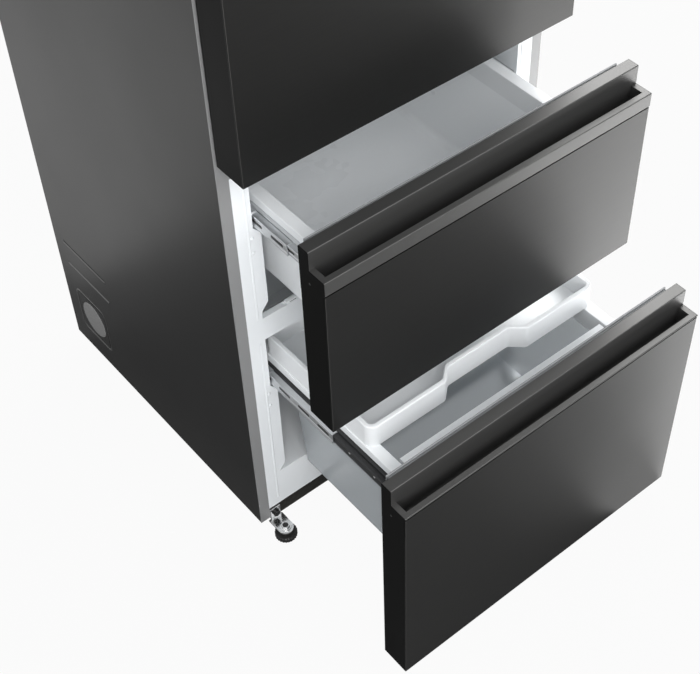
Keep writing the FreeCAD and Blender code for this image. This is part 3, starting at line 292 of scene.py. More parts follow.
def linkPiece(name, build, body, finishNames, angle=35):
    # joins the doubles, turns the faces outwards and shades the gentle edges smooth
    bmesh.ops.remove_doubles(build, verts=build.verts, dist=sameSpot)
    bmesh.ops.recalc_face_normals(build, faces=build.faces)
    shape = bpy.data.meshes.new(name)
    build.to_mesh(shape)
    build.free()
    shape.polygons.foreach_set("use_smooth", [True] * len(shape.polygons))
    shape.set_sharp_from_angle(angle=math.radians(angle))
    for finishName in finishNames:
        shape.materials.append(made[finishName])
    piece = bpy.data.objects.new(name, shape)
    scene.collection.objects.link(piece)
    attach(piece, body)
    return piece


def joinRings(build, rings, closed):
    # skin over rings of points, with flat ends where the rings don't close
    count = len(rings[0])
    faces = [] if closed else [build.faces.new(rings[0][::-1]), build.faces.new(rings[-1])]
    for here, there in zip(rings, rings[1:] + rings[:1] if closed else rings[1:]):
        for i in range(count):
            j = (i + 1) % count
            faces.append(build.faces.new((here[i], here[j], there[j], there[i])))
    return faces


def extrude(build, outline, axis, start, end, paint=0):
    # outline points lie across the axis, in the order of the other two axes
    def at(along, point):
        place = list(point)
        place.insert(axis, along)
        return build.verts.new(place)
    rings = [[at(along, point) for point in outline] for along in (start, end)]
    for face in joinRings(build, rings, False):
        face.material_index = paint


def roundBlock(build, low, high, radius, paint):
    # block with rounded edges, added to what is there already
    size = [b - a for a, b in zip(low, high)]
    middle = [(a + b) / 2 for a, b in zip(low, high)]
    block = bmesh.new()
    bmesh.ops.create_cube(block, size=1.0, matrix=Matrix.Translation(middle) @ Matrix.Diagonal((*size, 1.0)))
    bmesh.ops.bevel(block, geom=block.edges[:], offset=radius, segments=2, profile=0.5, affect="EDGES")
    for face in block.faces:
        face.material_index = paint
    part = bpy.data.meshes.new("roundBlock")
    block.to_mesh(part)
    block.free()
    build.from_mesh(part)
    bpy.data.meshes.remove(part)


# folded seal round each door: across the strip from its outer edge, and out towards the case
doorSeal = {
    "outline": [(0.5, 0.0), (12.5, 0.0), (12.5, 1.2), (9.8, 2.0), (10.8, 4.2), (9.4, 5.8), (11.8, 6.6),
                (12.4, 8.0), (11.4, 9.7), (2.0, 9.7), (0.8, 8.4), (1.4, 6.6), (3.8, 5.8), (2.4, 4.2),
                (3.4, 2.0), (0.5, 1.2)],
    "worn": {"door": "door_gasket", "upper_drawer": "upper_gasket", "lower_drawer": "lower_gasket"},
}


def ringAt(build, outline, y, corner):
    # corner: where it is, and which way the strip's width runs from there
    x, z, wayX, wayZ = corner
    return [build.verts.new((x + wayX * across / 1000, y + out / 1000, z + wayZ * across / 1000))
            for across, out in outline]


def makeSeals():
    for body, node in doorSeal["worn"].items():
        low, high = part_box(node)
        build = bmesh.new()
        corners = [(low.x, low.z, 1, 1), (high.x, low.z, -1, 1),
                   (high.x, high.z, -1, -1), (low.x, high.z, 1, -1)]
        joinRings(build, [ringAt(build, doorSeal["outline"], low.y, corner) for corner in corners], True)
        seal = linkPiece(node.replace("gasket", "foldedSeal"), build, body, ["sealRubber"],
                         angle=50)
        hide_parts(node)


# dark turned edge at the back of the upper door, open on the hinge side; its darkness is painted shade in the gap
# between door and case
doorGapShade = {
    "outline": [(0.2, -0.1), (0.2, 7.0), (0.9, 8.0), (2.4, 8.0), (3.0, 7.4), (3.0, -0.1)],
    "hingeEnd": 240.0,
}


def makeDoorGapShade():
    low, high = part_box("door_core")
    end = doorGapShade["hingeEnd"] / 1000
    build = bmesh.new()
    corners = [(end, low.z, 0, 1), (low.x, low.z, 1, 1), (low.x, high.z, 1, -1), (end, high.z, 0, -1)]
    joinRings(build, [ringAt(build, doorGapShade["outline"], high.y, corner) for corner in corners], False)
    linkPiece("doorGapShade", build, "door", ["darkSides"])


# rolled arms and runners of the slides; outlines run from the outer face inwards and from the foot up
slideArm = {
    "outline": [(0.8, 0.0), (10.6, 0.0), (10.6, 18.6), (20.0, 18.6), (20.6, 19.0), (20.6, 20.2), (20.2, 20.6),
                (9.0, 20.6), (8.6, 20.2), (8.6, 16.4), (0.8, 16.4), (0.0, 15.6), (0.0, 12.4), (0.5, 11.8),
                (1.3, 11.4), (1.3, 5.0), (0.5, 4.6), (0.0, 4.0), (0.0, 0.8)],
    "frontGap": 0.2,
    "worn": {"upper_arms": ("upper_drawer", "slideSteel", "slide_steel"),
             "lower_arms": ("lower_drawer", "armBlack", "black_plastic")},
}
slideRunner = {
    "outline": [(0.6, 0.0), (10.1, 0.0), (10.1, 1.5), (1.5, 1.5), (1.5, 18.7), (10.1, 18.7), (10.1, 20.2),
                (0.6, 20.2), (0.0, 19.6), (0.0, 15.8), (0.4, 15.2), (0.8, 15.0), (0.8, 5.2), (0.4, 5.0),
                (0.0, 4.4), (0.0, 0.6)],
    "frontGap": 0.2,
    "worn": {"upper_runners": ("upper_slide", "slideSteel", "slide_steel"),
             "lower_runners": ("lower_slide", "slideSteel", "slide_steel")},
}


def makeSlides():
    for member in (slideArm, slideRunner):
        for node, (body, finishName, slotName) in member["worn"].items():
            low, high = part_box(node)
            build = bmesh.new()
            for side in (-1, 1):
                outline = [(side * (high.x - x / 1000), low.z + z / 1000) for x, z in member["outline"]]
                extrude(build, outline, 1, low.y + member["frontGap"] / 1000, high.y)
            rolled = linkPiece(node.replace("_", "_rolled_"), build, body, [finishName])
            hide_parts(node)


# bins with a white rim, milky walls above and clear ones below; ledge inside the front of the lower one
clearBin = {
    "rim": 34.6, "edge": 0.9, "edgeSteps": 2, "edgeAngle": 40.0, "shadeWeight": 90,
    "worn": {"upper_bin": ("upper_drawer", "binMilk"), "lower_bin": ("lower_drawer", "binClear")},
    "ledgeHalf": 207.0,
    "ledge": [(3.0, -2.6), (3.0, -0.2), (51.7, -0.2), (52.5, -0.9), (52.5, -6.0), (51.3, -6.0), (51.0, -2.6)],
}


def makeBins():
    for node, (body, wallFinish) in clearBin["worn"].items():
        build = mergedCopy(node)
        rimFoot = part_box(node)[1].z - clearBin["rim"] / 1000  # the white rim reaches down behind the arms
        bmesh.ops.bisect_plane(build, geom=build.verts[:] + build.edges[:] + build.faces[:],
                               plane_co=(0, 0, rimFoot), plane_no=(0, 0, 1))
        for face in build.faces:
            face.material_index = 1 if face.calc_center_median().z > rimFoot else 0
        walls = linkPiece(node.replace("bin", "clearBin"), build, body, [wallFinish, "trayWhite"],
                          angle=30)
        soft = walls.modifiers.new("softEdges", "BEVEL")
        soft.width, soft.segments, soft.limit_method = clearBin["edge"] / 1000, clearBin["edgeSteps"], "ANGLE"
        soft.angle_limit = math.radians(clearBin["edgeAngle"])
        even = walls.modifiers.new("evenShade", "WEIGHTED_NORMAL")
        even.keep_sharp, even.weight = True, clearBin["shadeWeight"]
        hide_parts(node)
    low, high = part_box("lower_bin")
    half = clearBin["ledgeHalf"] / 1000
    build = bmesh.new()
    extrude(build, setDown(clearBin["ledge"], low.y, high.z), 0, -half, half)
    linkPiece("binLedge", build, "lower_drawer", ["trayWhite"])


# nose trims and rear stops of the glass shelves; outlines run back from the glass edge and up from its foot
shelfTrim = {
    "half": 238.0,
    "nose": [(14.0, -0.05), (-0.1, -0.05), (-0.1, 4.05), (14.0, 4.05), (14.0, 5.4), (13.4, 5.9), (-2.3, 5.9),
             (-4.0, 4.4), (-4.0, -0.6), (-2.3, -1.9), (13.4, -1.9), (14.0, -1.4)],
    "stop": [(396.5, 4.05), (407.6, 4.05), (407.6, 15.5), (407.0, 16.0), (406.2, 16.0), (405.6, 15.5),
             (405.6, 6.2), (396.9, 5.6)],
}


def makeShelfTrims():
    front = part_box("glass_shelves")[0].y
    feet = sorted({round(v.co.z, 4) for v in nodes["glass_shelves"].data.vertices})[::2]  # every other is a top
    half = shelfTrim["half"] / 1000
    build = bmesh.new()
    for foot in feet:
        for outline, paint in ((shelfTrim["nose"], 0), (shelfTrim["stop"], 1)):
            extrude(build, setDown(outline, front, foot), 0, -half, half, paint)
    linkPiece("shelfTrims", build, "cabinet", ["trayWhite", "slideSteel"])
    print("shelves:", len(feet))


# rails along the front edges of the door bins; the outline straddles the wall and hangs from its top
binRail = {
    "half": 205.0, "wall": 2.5, "flush": 0.5, "within": (1.0, 100.0),
    "outline": [(-1.6, -13.0), (-1.6, 0.6), (-0.8, 1.5), (3.3, 1.5), (4.1, 0.6), (4.1, -13.0), (3.5, -13.6),
                (2.6, -13.0), (2.6, -0.1), (-0.1, -0.1), (-0.1, -13.0), (-1.0, -13.6)],
}


def makeBinRails():
    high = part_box("door_bins")[1]
    half, wall, flush, near, far = millimetres(
        binRail["half"], binRail["wall"], binRail["flush"], *binRail["within"])
    levels = sorted({round(v.co.z, 3) for v in nodes["door_bins"].data.vertices if abs(v.co.y - high.y) < flush})
    tops = [z for z in levels if not any(near < other - z < far for other in levels)]
    build = bmesh.new()
    for top in tops:
        extrude(build, setDown(binRail["outline"], high.y - wall, top), 0, -half, half)
    linkPiece("doorBinRails", build, "door", ["trayWhite"])
    print("door bins:", len(tops))


# dark caps over the ends of the grips, cut from the grip's own outline
gripCap = {"proud": 0.3, "slack": 0.1, "facing": 0.99,
           "worn": {"upper_drawer": "upper_handle", "lower_drawer": "lower_handle"}}


def makeGripCaps():
    proud, slack = millimetres(gripCap["proud"], gripCap["slack"])
    for body, node in gripCap["worn"].items():
        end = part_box(node)[1].x - slack
        build = mergedCopy(node)
        inner = [f for f in build.faces
                 if abs(f.normal.x) < gripCap["facing"] or min(abs(v.co.x) for v in f.verts) < end]
        bmesh.ops.delete(build, geom=inner, context="FACES")
        grown = bmesh.ops.extrude_face_region(build, geom=build.faces[:], use_keep_orig=True)["geom"]
        for v in (g for g in grown if isinstance(g, bmesh.types.BMVert)):
            v.co.x += math.copysign(proud, v.co.x)
        linkPiece(node.replace("handle", "gripCaps"), build, body, ["darkSides"])


# small clip on the bar between the drawers, left of the middle
barClip = {
    "x": -193.0, "setBack": 1.0,
    # half width, front and back, foot and top, edge radius, finish
    "blocks": [(11.0, (0.0, 8.6), (-1.0, 3.4), 1.2, 0), (15.0, (4.73, 8.6), (-1.0, 1.36), 0.6, 0),
               (6.0, (-0.2, 3.44), (1.02, 2.108), 0.3, 1)],
}


def makeBarClip():
    low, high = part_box("drawer_crossbar")
    x, setBack = millimetres(barClip["x"], barClip["setBack"])
    y, z = low.y + setBack, high.z
    build = bmesh.new()
    for half, depth, height, radius, paint in barClip["blocks"]:
        half, front, back, foot, top, radius = millimetres(half, *depth, *height, radius)
        roundBlock(build, (x - half, y + front, z + foot), (x + half, y + back, z + top), radius, paint)
    linkPiece("barClip", build, "cabinet", ["trayWhite", "blackPlastic"])


# white sheet on the back of each drawer front, between the seal and the raised liner
backSheet = {"thick": 0.8, "room": 0.4, "sealWidth": 12.5,
             "worn": {"upper": "upper_drawer", "lower": "lower_drawer"}}


def makeBackSheets():
    thick, room, wide = millimetres(backSheet["thick"], backSheet["room"], backSheet["sealWidth"])
    for drawer, body in backSheet["worn"].items():
        build = bmesh.new()
        loops = []
        for node, out in ((drawer + "_gasket", -wide - room), (drawer + "_liner", room)):
            low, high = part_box(node)
            corners = [(low.x - out, low.z - out), (high.x + out, low.z - out),
                       (high.x + out, high.z + out), (low.x - out, high.z + out)]
            loops += [[build.verts.new((x, y, z)) for x, z in corners] for y in (low.y, low.y + thick)]
        joinRings(build, [loops[k] for k in (0, 1, 3, 2)], True)
        linkPiece(drawer + "_backSheet", build, body, ["linerWhite"])


# grip strip along the top of the crisper's front; out from the wall and down from the top edge
crisperGrip = {
    "half": 206.0,
    "outline": [(0.1, 0.0), (-2.6, 0.0), (-3.8, -1.4), (-3.8, -5.0), (-2.6, -8.0), (-2.2, -20.0),
                (-3.0, -23.0), (-2.4, -24.5), (0.1, -24.5)],
}


def makeCrisperGrip():
    low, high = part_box("crisper")
    half = crisperGrip["half"] / 1000
    build = bmesh.new()
    extrude(build, setDown(crisperGrip["outline"], low.y, high.z), 0, -half, half)
    linkPiece("crisperGrip", build, "crisper", ["trayWhite"], angle=50)


# round pad inside the pressed frame of each side panel; radius and height of its turned outline
sidePad = {"centre": (400.0, 126.5), "steps": 64,
           "outline": [(33.6, 0.9), (35.8, 0.7), (36.8, 0.2), (37.0, -0.45)]}


def makeSidePads():
    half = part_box("side_panel_right")[1].x
    y, z = millimetres(*sidePad["centre"])
    angles = [2 * math.pi * k / sidePad["steps"] for k in range(sidePad["steps"])]
    build = bmesh.new()
    for side in (-1, 1):
        rings = []
        for size in sidePad["outline"]:
            radius, height = millimetres(*size)
            rings.append([build.verts.new((side * (half + height), y + radius * math.cos(angle),
                                           z + radius * math.sin(angle))) for angle in angles])
        joinRings(build, rings, False)
    linkPiece("sidePads", build, "cabinet", ["padGrey"], angle=50)


def endTree(tree, given, out, source, keys):
    # every tree of a repeated piece ends in a plain mesh with its finish
    real = addNode(tree, "GeometryNodeRealizeInstances", {0: source})
    paint = addNode(tree, "GeometryNodeSetMaterial", {"Geometry": real.outputs[0], "Material": given["Finish"]})
    tree.links.new(paint.outputs[0], out["Geometry"])
    return tree, keys


def turned(tree, source):
    return addNode(tree, "FunctionNodeEulerToRotation", {0: source}).outputs[0]


def flattened(tree, shape, axis, height, radius):
    scale = addNode(tree, "ShaderNodeCombineXYZ", {
        **dict.fromkeys("XYZ", 1.0), axis: math2(tree, "DIVIDE", height, radius)})
    return addNode(tree, "GeometryNodeTransform", {"Geometry": shape, "Scale": scale.outputs[0]}).outputs[0]


def roundWire(tree, path, radius, corners, capped):
    section = addNode(tree, "GeometryNodeCurvePrimitiveCircle", {"Resolution": corners, "Radius": radius})
    return addNode(tree, "GeometryNodeCurveToMesh", {
        "Curve": path, "Profile Curve": section.outputs[0], "Fill Caps": capped}).outputs[0]


def rowTree(name, makeOne, sizes):
    # copies of one shape along a straight line
    tree, given, out, keys = startTree(
        name, "GeometryNodeTree",
        [("Start", "Vector", None), ("Step", "Vector", None), ("Count", "Int", 2), ("Turn", "Vector", None),
         ("Finish", "Material", None)] + [(label, "Float", start) for label, start in sizes.items()],
        [("Geometry", "Geometry")])
    line = addNode(tree, "GeometryNodeMeshLine", {
        "Start Location": given["Start"], "Offset": given["Step"], "Count": given["Count"]}, mode="OFFSET")
    spread = addNode(tree, "GeometryNodeInstanceOnPoints", {
        "Points": line.outputs[0], "Instance": makeOne(tree, given), "Rotation": turned(tree, given["Turn"])})
    return endTree(tree, given, out, spread.outputs[0], keys)


screwShape = {"corners": 18, "top": 0.72, "slotLong": 1.1, "slotWide": 0.22}  # shares of the radius


def screwHead(tree, given):
    # flat-topped head with a crossed slot
    radius, height = given["Radius"], given["Height"]
    top, long, wide = [math2(tree, "MULTIPLY", radius, screwShape[key]) for key in ("top", "slotLong", "slotWide")]
    head = addNode(tree, "GeometryNodeMeshCone", {
        "Vertices": screwShape["corners"], "Radius Bottom": radius, "Radius Top": top, "Depth": height})
    cut = addNode(tree, "GeometryNodeMeshBoolean", {0: head.outputs["Mesh"], "Self Intersection": True},
                  operation="DIFFERENCE", solver="EXACT")
    lift = addNode(tree, "ShaderNodeCombineXYZ", {"Z": height})
    for along, across in ("XY", "YX"):
        size = addNode(tree, "ShaderNodeCombineXYZ", {along: long, across: wide, "Z": height})
        bar = addNode(tree, "GeometryNodeMeshCube", {"Size": size.outputs[0]})
        raised = addNode(tree, "GeometryNodeTransform", {
            "Geometry": bar.outputs["Mesh"], "Translation": lift.outputs[0]})
        tree.links.new(raised.outputs[0], cut.inputs[1])
    return cut.outputs[0]


def pressedBead(tree, given):
    # long half-round bead with round ends: a ball pulled apart at its middle, then flattened
    radius = math2(tree, "MULTIPLY", given["Width"], 0.5)
    reach = math2(tree, "MULTIPLY", given["Length"], 0.5)
    ball = addNode(tree, "GeometryNodeMeshUVSphere", {"Segments": 16, "Rings": 9, "Radius": radius})
    split = addNode(tree, "ShaderNodeSeparateXYZ", {0: addNode(tree, "GeometryNodeInputPosition").outputs[0]})
    pull = addNode(tree, "ShaderNodeCombineXYZ", {
        "Z": math2(tree, "MULTIPLY", math2(tree, "SIGN", split.outputs["Z"]), reach)})
    apart = addNode(tree, "GeometryNodeSetPosition", {"Geometry": ball.outputs["Mesh"], "Offset": pull.outputs[0]})
    return flattened(tree, apart.outputs[0], "Y", given["Height"], radius)


def rivetDome(tree, given):
    dome = addNode(tree, "GeometryNodeMeshUVSphere", {"Segments": 14, "Rings": 8, "Radius": given["Radius"]})
    return flattened(tree, dome.outputs["Mesh"], "Z", given["Height"], given["Radius"])


# six-sided head and thin round flange: corners, radius at foot and top, and height, as shares
headShape = [(6, 1.0, 0.93, 1.0), (24, 1.28, 1.22, 0.24)]


def hexHead(tree, given):
    join = addNode(tree, "GeometryNodeJoinGeometry")
    for corners, foot, top, share in headShape:
        part = addNode(tree, "GeometryNodeMeshCone", {
            "Vertices": corners, "Radius Bottom": math2(tree, "MULTIPLY", given["Radius"], foot),
            "Radius Top": math2(tree, "MULTIPLY", given["Radius"], top),
            "Depth": math2(tree, "MULTIPLY", given["Height"], share)})
        tree.links.new(part.outputs["Mesh"], join.inputs[0])
    return join.outputs[0]


guardShape = {"spokeShare": 1.15, "wireCorners": 8, "ringSteps": 56}


def guardTree():
    # wire rings on spokes, in front of a fan
    tree, given, out, keys = startTree(
        "fanGuard", "GeometryNodeTree",
        [("Place", "Vector", None), ("Turn", "Vector", None), ("First", "Float", 0.01), ("Step", "Float", 0.009),
         ("Rings", "Int", 5), ("Wire", "Float", 0.0009), ("Spokes", "Int", 6), ("Reach", "Float", 0.05),
         ("Finish", "Material", None)], [("Geometry", "Geometry")])
    index = addNode(tree, "GeometryNodeInputIndex").outputs[0]

    def onOneSpot(count, shape, **ways):
        spots = addNode(tree, "GeometryNodeMeshLine", {"Offset": (0.0, 0.0, 0.0), "Count": count}, mode="OFFSET")
        return addNode(tree, "GeometryNodeInstanceOnPoints", {
            "Points": spots.outputs[0], "Instance": shape.outputs[0], **ways}).outputs[0]
    loop = addNode(tree, "GeometryNodeCurvePrimitiveCircle", {
        "Resolution": guardShape["ringSteps"], "Radius": 1.0})
    size = math2(tree, "ADD", math2(tree, "MULTIPLY", index, given["Step"]), given["First"])
    loops = addNode(tree, "GeometryNodeRealizeInstances", {0: onOneSpot(given["Rings"], loop, Scale=size)})
    wires = roundWire(tree, loops.outputs[0], given["Wire"], guardShape["wireCorners"], False)
    # a spoke runs from the first ring outwards
    rod = addNode(tree, "GeometryNodeMeshCylinder", {
        "Vertices": guardShape["wireCorners"], "Depth": math2(tree, "SUBTRACT", given["Reach"], given["First"]),
        "Radius": math2(tree, "MULTIPLY", given["Wire"], guardShape["spokeShare"])})
    ends = math2(tree, "ADD", given["Reach"], given["First"])
    halfway = addNode(tree, "ShaderNodeCombineXYZ", {"X": math2(tree, "MULTIPLY", ends, 0.5)})
    laid = addNode(tree, "GeometryNodeTransform", {
        "Geometry": rod.outputs["Mesh"], "Translation": halfway.outputs[0], "Rotation": (0.0, quarter, 0.0)})
    angle = math2(tree, "MULTIPLY", index, math2(tree, "DIVIDE", 2 * math.pi, given["Spokes"]))
    around = addNode(tree, "ShaderNodeCombineXYZ", {"Z": angle})
    spokes = onOneSpot(given["Spokes"], laid, Rotation=turned(tree, around.outputs[0]))
    join = addNode(tree, "GeometryNodeJoinGeometry")
    for part in (wires, spokes):
        tree.links.new(part, join.inputs[0])
    stand = addNode(tree, "GeometryNodeTransform", {
        "Geometry": join.outputs[0], "Translation": given["Place"], "Rotation": turned(tree, given["Turn"])})
    return endTree(tree, given, out, stand.outputs[0], keys)


def beadTree(corners=20):
    # round bead along the edges of a path
    tree, given, out, keys = startTree(
        "beadAlong", "GeometryNodeTree",
        [("Path", "Geometry", None), ("Radius", "Float", 0.003), ("Finish", "Material", None)],
        [("Geometry", "Geometry")])
    line = addNode(tree, "GeometryNodeMeshToCurve", {"Mesh": given["Path"]})
    return endTree(tree, given, out, roundWire(tree, line.outputs[0], given["Radius"], corners, True), keys)


def grow(treeAndKeys, settings, path):
    tree, keys = treeAndKeys
    holder = bpy.data.objects.new("growing", bpy.data.meshes.new("growing"))
    if path:
        holder.data.from_pydata(*path, [])
    scene.collection.objects.link(holder)
    rule = holder.modifiers.new("rule", "NODES")
    rule.node_group = tree
    for label, setting in settings.items():
        rule[keys[label]] = setting
    shape = bpy.data.meshes.new_from_object(holder.evaluated_get(bpy.context.evaluated_depsgraph_get()))
    holder.modifiers.remove(rule)
    bpy.data.objects.remove(holder)
    return shape


def growPiece(name, body, finishName, treeAndKeys, rows, sizes, path=None):
    build = bmesh.new()
    for row in rows:
        build.from_mesh(grow(treeAndKeys, {"Finish": made[finishName], **row, **sizes}, path))
    linkPiece(name, build, body, [finishName], angle=40)


def rowFrom(start, turn, step=(0.0, 0.0, 0.0), count=1):
    return {"Start": start, "Turn": turn, "Step": step, "Count": count}


# on the back: x and z of the first one of each row, its steps along x and z, and how many
caseScrew = {
    "sizes": {"Radius": 0.0036, "Height": 0.0017},
    "rows": [(-0.287, 0.30, 0.0, 0.26, 7), (0.287, 0.30, 0.0, 0.26, 7), (-0.20, 1.880, 0.10, 0.0, 5),
             (-0.20, 0.2535, 0.10, 0.0, 5), (-0.27, 0.2345, 0.135, 0.0, 5), (-0.27, 0.0365, 0.135, 0.0, 5)],
}
backBead = {"sizes": {"Length": 1.28, "Width": 0.024, "Height": 0.0022}, "rows": [(-0.20, 1.08, 0.10, 0.0, 5)]}
lampRib = {"sizes": {"Length": 0.168, "Width": 0.0026, "Height": 0.0007}, "step": 0.004, "count": 9}
# on the slides: in from the outer face, back from the front end and up from the foot
armRivet = {"sizes": {"Radius": 0.0021, "Height": 0.0009},
            "inwards": 0.0013, "back": 0.022, "up": 0.0082, "step": 0.058, "count": 7}
# the slots are thin dark marks laid on the sheet: painted shade where the slots would be cut through
armSlot = {"sizes": {"Length": 0.030, "Width": 0.0046, "Height": 0.0003},
           "inwards": 0.0013, "back": 0.050, "up": 0.0082, "step": 0.052, "count": 7}
runnerSlot = {"sizes": {"Length": 0.022, "Width": 0.0060, "Height": 0.0003},
              "inwards": 0.0008, "back": 0.024, "up": 0.0101, "step": 0.048, "count": 9}
# on the ends of the grips: ahead of the back edge and up from the foot
sidePlug = {"sizes": {"Radius": 0.0026, "Height": 0.0005}, "ahead": 0.0207, "up": 0.0229}
borderStud = {"sizes": {"Radius": 0.0034, "Height": 0.0014}, "x": 0.2535, "z": (0.309, 0.643), "step": 0.028,
              "count": 2}
footHead = {"sizes": {"Radius": 0.0078, "Height": 0.0052}, "up": 0.0032, "turn": 0.3}
fanWire = {"sizes": {"First": 0.010, "Step": 0.0088, "Rings": 5, "Wire": 0.0009, "Spokes": 6, "Reach": 0.0505},
           "proud": 0.0008}


def makeRepeats():
    screws = rowTree("screwRow", screwHead, caseScrew["sizes"])
    beads = rowTree("beadRow", pressedBead, backBead["sizes"])
    rivets = rowTree("rivetRow", rivetDome, armRivet["sizes"])
    heads = rowTree("headRow", hexHead, footHead["sizes"])
    toFront, toBack, upright = (quarter, 0.0, 0.0), (-quarter, 0.0, 0.0), (0.0, 0.0, 0.0)
    lengthwise, toSides = [(quarter, quarter, 0.0)] * 2, [(0.0, side * quarter, 0.0) for side in (-1, 1)]
    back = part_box("back_panel")[1].y
    for name, finishName, tree, spec, turn, slotName in (
            ("caseScrews", "screwSteel", screws, caseScrew, toBack, "screw_steel"),
            ("backBeads", "zincSheet", beads, backBead, upright, "back_metal")):
        rows = [rowFrom((x, back, z), turn, (stepX, 0.0, stepZ), count)
                for x, z, stepX, stepZ, count in spec["rows"]]
        growPiece(name, "cabinet", finishName, tree, rows, spec["sizes"])
    low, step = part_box("ceiling_lamp")[0], lampRib["step"]
    rows = [rowFrom((0.0, low.y + step, low.z), (quarter, 0.0, quarter), (0.0, step, 0.0), lampRib["count"])]
    growPiece("lampRibs", "cabinet", "lampCover", beads, rows, lampRib["sizes"])
    for name, node, body, finishName, tree, spec, turns, slotName in (
            ("armRivets", "lower_arms", "lower_drawer", "screwSteel", rivets, armRivet, toSides, "screw_steel"),
            ("armSlots", "upper_arms", "upper_drawer", "armBlack", beads, armSlot, lengthwise, "black_plastic"),
            ("upper_runnerSlots", "upper_runners", "upper_slide", "armBlack", beads, runnerSlot, lengthwise,
             "black_plastic"),
            ("lower_runnerSlots", "lower_runners", "lower_slide", "armBlack", beads, runnerSlot, lengthwise,
             "black_plastic")):
        low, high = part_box(node)
        rows = [rowFrom((side * (high.x - spec["inwards"]), low.y + spec["back"], low.z + spec["up"]), turn,
                        (0.0, spec["step"], 0.0), spec["count"]) for side, turn in zip((-1, 1), turns)]
        growPiece(name, body, finishName, tree, rows, spec["sizes"])
    for drawer in ("upper", "lower"):
        low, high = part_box(drawer + "_handle")
        rows = [rowFrom((side * high.x, high.y - sidePlug["ahead"], low.z + sidePlug["up"]), (0.0, quarter, 0.0))
                for side in (-1, 1)]
        growPiece(drawer + "_sidePlugs", drawer + "_drawer", "blackPlastic", rivets, rows, sidePlug["sizes"])
    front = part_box("freezer_liner")[0].y
    rows = [rowFrom((side * borderStud["x"], front, z), toFront, (0.0, 0.0, borderStud["step"]),
                    borderStud["count"]) for side in (-1, 1) for z in borderStud["z"]]
    growPiece("borderStuds", "cabinet", "linerWhite", rivets, rows, borderStud["sizes"])
    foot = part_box("foot_brackets")[0].z + footHead["up"]
    for side in ("left", "right"):
        low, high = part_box("levelling_foot_" + side)
        rows = [rowFrom(((low.x + high.x) / 2, (low.y + high.y) / 2, foot), (0.0, 0.0, footHead["turn"]))]
        growPiece("footHead_" + side, side + "_foot", "bracketChrome", heads, rows, footHead["sizes"])
    cover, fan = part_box("evaporator_cover")[0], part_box("evaporator_fan")
    middle = (0.0, cover.y - fanWire["proud"], (fan[0].z + fan[1].z) / 2)
    growPiece("fanGuard", "cabinet", "screwSteel", guardTree(), [{"Place": middle, "Turn": toFront}],
              fanWire["sizes"])


# pressed lines on the side panels: y and z of two straight ones and of a rounded frame
# the beads on these lines wear a lighter copy of the panel paint: a painted highlight
sideMark = {"radius": 3.2, "proud": 0.75, "straight": [(317.5, 453.5, 286.0), (317.5, 453.5, 235.2)],
            "frame": (351.0, 449.0, 76.5, 176.5), "corner": 15.0, "cornerSteps": 8}
# upright beads on the freezer's border, which stop short of the seals of the two drawers
borderBead = {"radius": 3.0, "proud": 0.8, "x": 258.0, "spans": [(70.0, 458.0), (510.0, 784.0)]}


def roundedLoop(lowY, highY, lowZ, highZ, corner, steps):
    points = []
    for y, z, start in ((highY - corner, highZ - corner, 0), (lowY + corner, highZ - corner, 1),
                        (lowY + corner, lowZ + corner, 2), (highY - corner, lowZ + corner, 3)):
        for k in range(steps + 1):
            angle = quarter * (start + k / steps)
            points.append((y + corner * math.cos(angle), z + corner * math.sin(angle)))
    return points


def makeBeads():
    tree = beadTree()
    radius, proud = millimetres(sideMark["radius"], sideMark["proud"])
    loop = roundedLoop(*millimetres(*sideMark["frame"], sideMark["corner"]), sideMark["cornerSteps"])
    points, edges = [], []
    for side in (-1, 1):
        x = side * (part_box("side_panel_right")[1].x - radius + proud)
        for line in sideMark["straight"]:
            y0, y1, z = millimetres(*line)
            edges.append((len(points), len(points) + 1))
            points += [(x, y0, z), (x, y1, z)]
        edges += [(len(points) + i, len(points) + (i + 1) % len(loop)) for i in range(len(loop))]
        points += [(x, y, z) for y, z in loop]
    growPiece("sideMarks", "cabinet", "pressedEdgeHighlight", tree, [{}], {"Radius": radius},
              (points, edges))
    radius, proud, x = millimetres(borderBead["radius"], borderBead["proud"], borderBead["x"])
    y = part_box("freezer_liner")[0].y + radius - proud
    points = [(side * x, y, z / 1000) for side in (-1, 1) for span in borderBead["spans"] for z in span]
    edges = [(i, i + 1) for i in range(0, len(points), 2)]
    growPiece("borderBeads", "cabinet", "linerWhite", tree, [{}], {"Radius": radius},
              (points, edges))


makeRepeats()
makeBeads()
print("repeated pieces grown")
makeSeals()
makeDoorGapShade()
makeSlides()
makeBins()
makeShelfTrims()
makeBinRails()
makeGripCaps()
makeBarClip()
makeBackSheets()
makeCrisperGrip()
makeSidePads()
print("moulded pieces made")

studio = {
    "floorSize": 14.0, "floorDrop": 0.0004, "floorColour": (0.17, 0.17, 0.17), "toCamera": 0.95, "toGlossy": 0.06,
    "skyColour": (0.96, 0.98, 1.0), "sky": 0.9,
}
softboxes = {
    "keyRight": {"place": (2.0, 1.1, 2.7), "aim": (0.1, -0.2, 0.5), "size": (2.0, 2.0), "power": 98},
    "fillFront": {"place": (0.7, -2.6, 2.7), "aim": (0.0, -0.2, 0.5), "size": (2.0, 2.0), "power": 35},
    "fillLeft": {"place": (-0.95, -1.45, 0.85), "aim": (-0.15, -0.2, 0.3), "size": (0.8, 0.8), "power": 13},
    "fillTop": {"place": (-0.9, -1.6, 2.2), "aim": (0.05, -0.3, 0.5), "size": (0.9, 0.9), "power": 11},
    "lowLeft": {"place": (-1.05, 1.7, 0.02), "aim": (-1.05, 1.7, 1.0), "size": (1.3, 2.2), "power": 8.5},
}
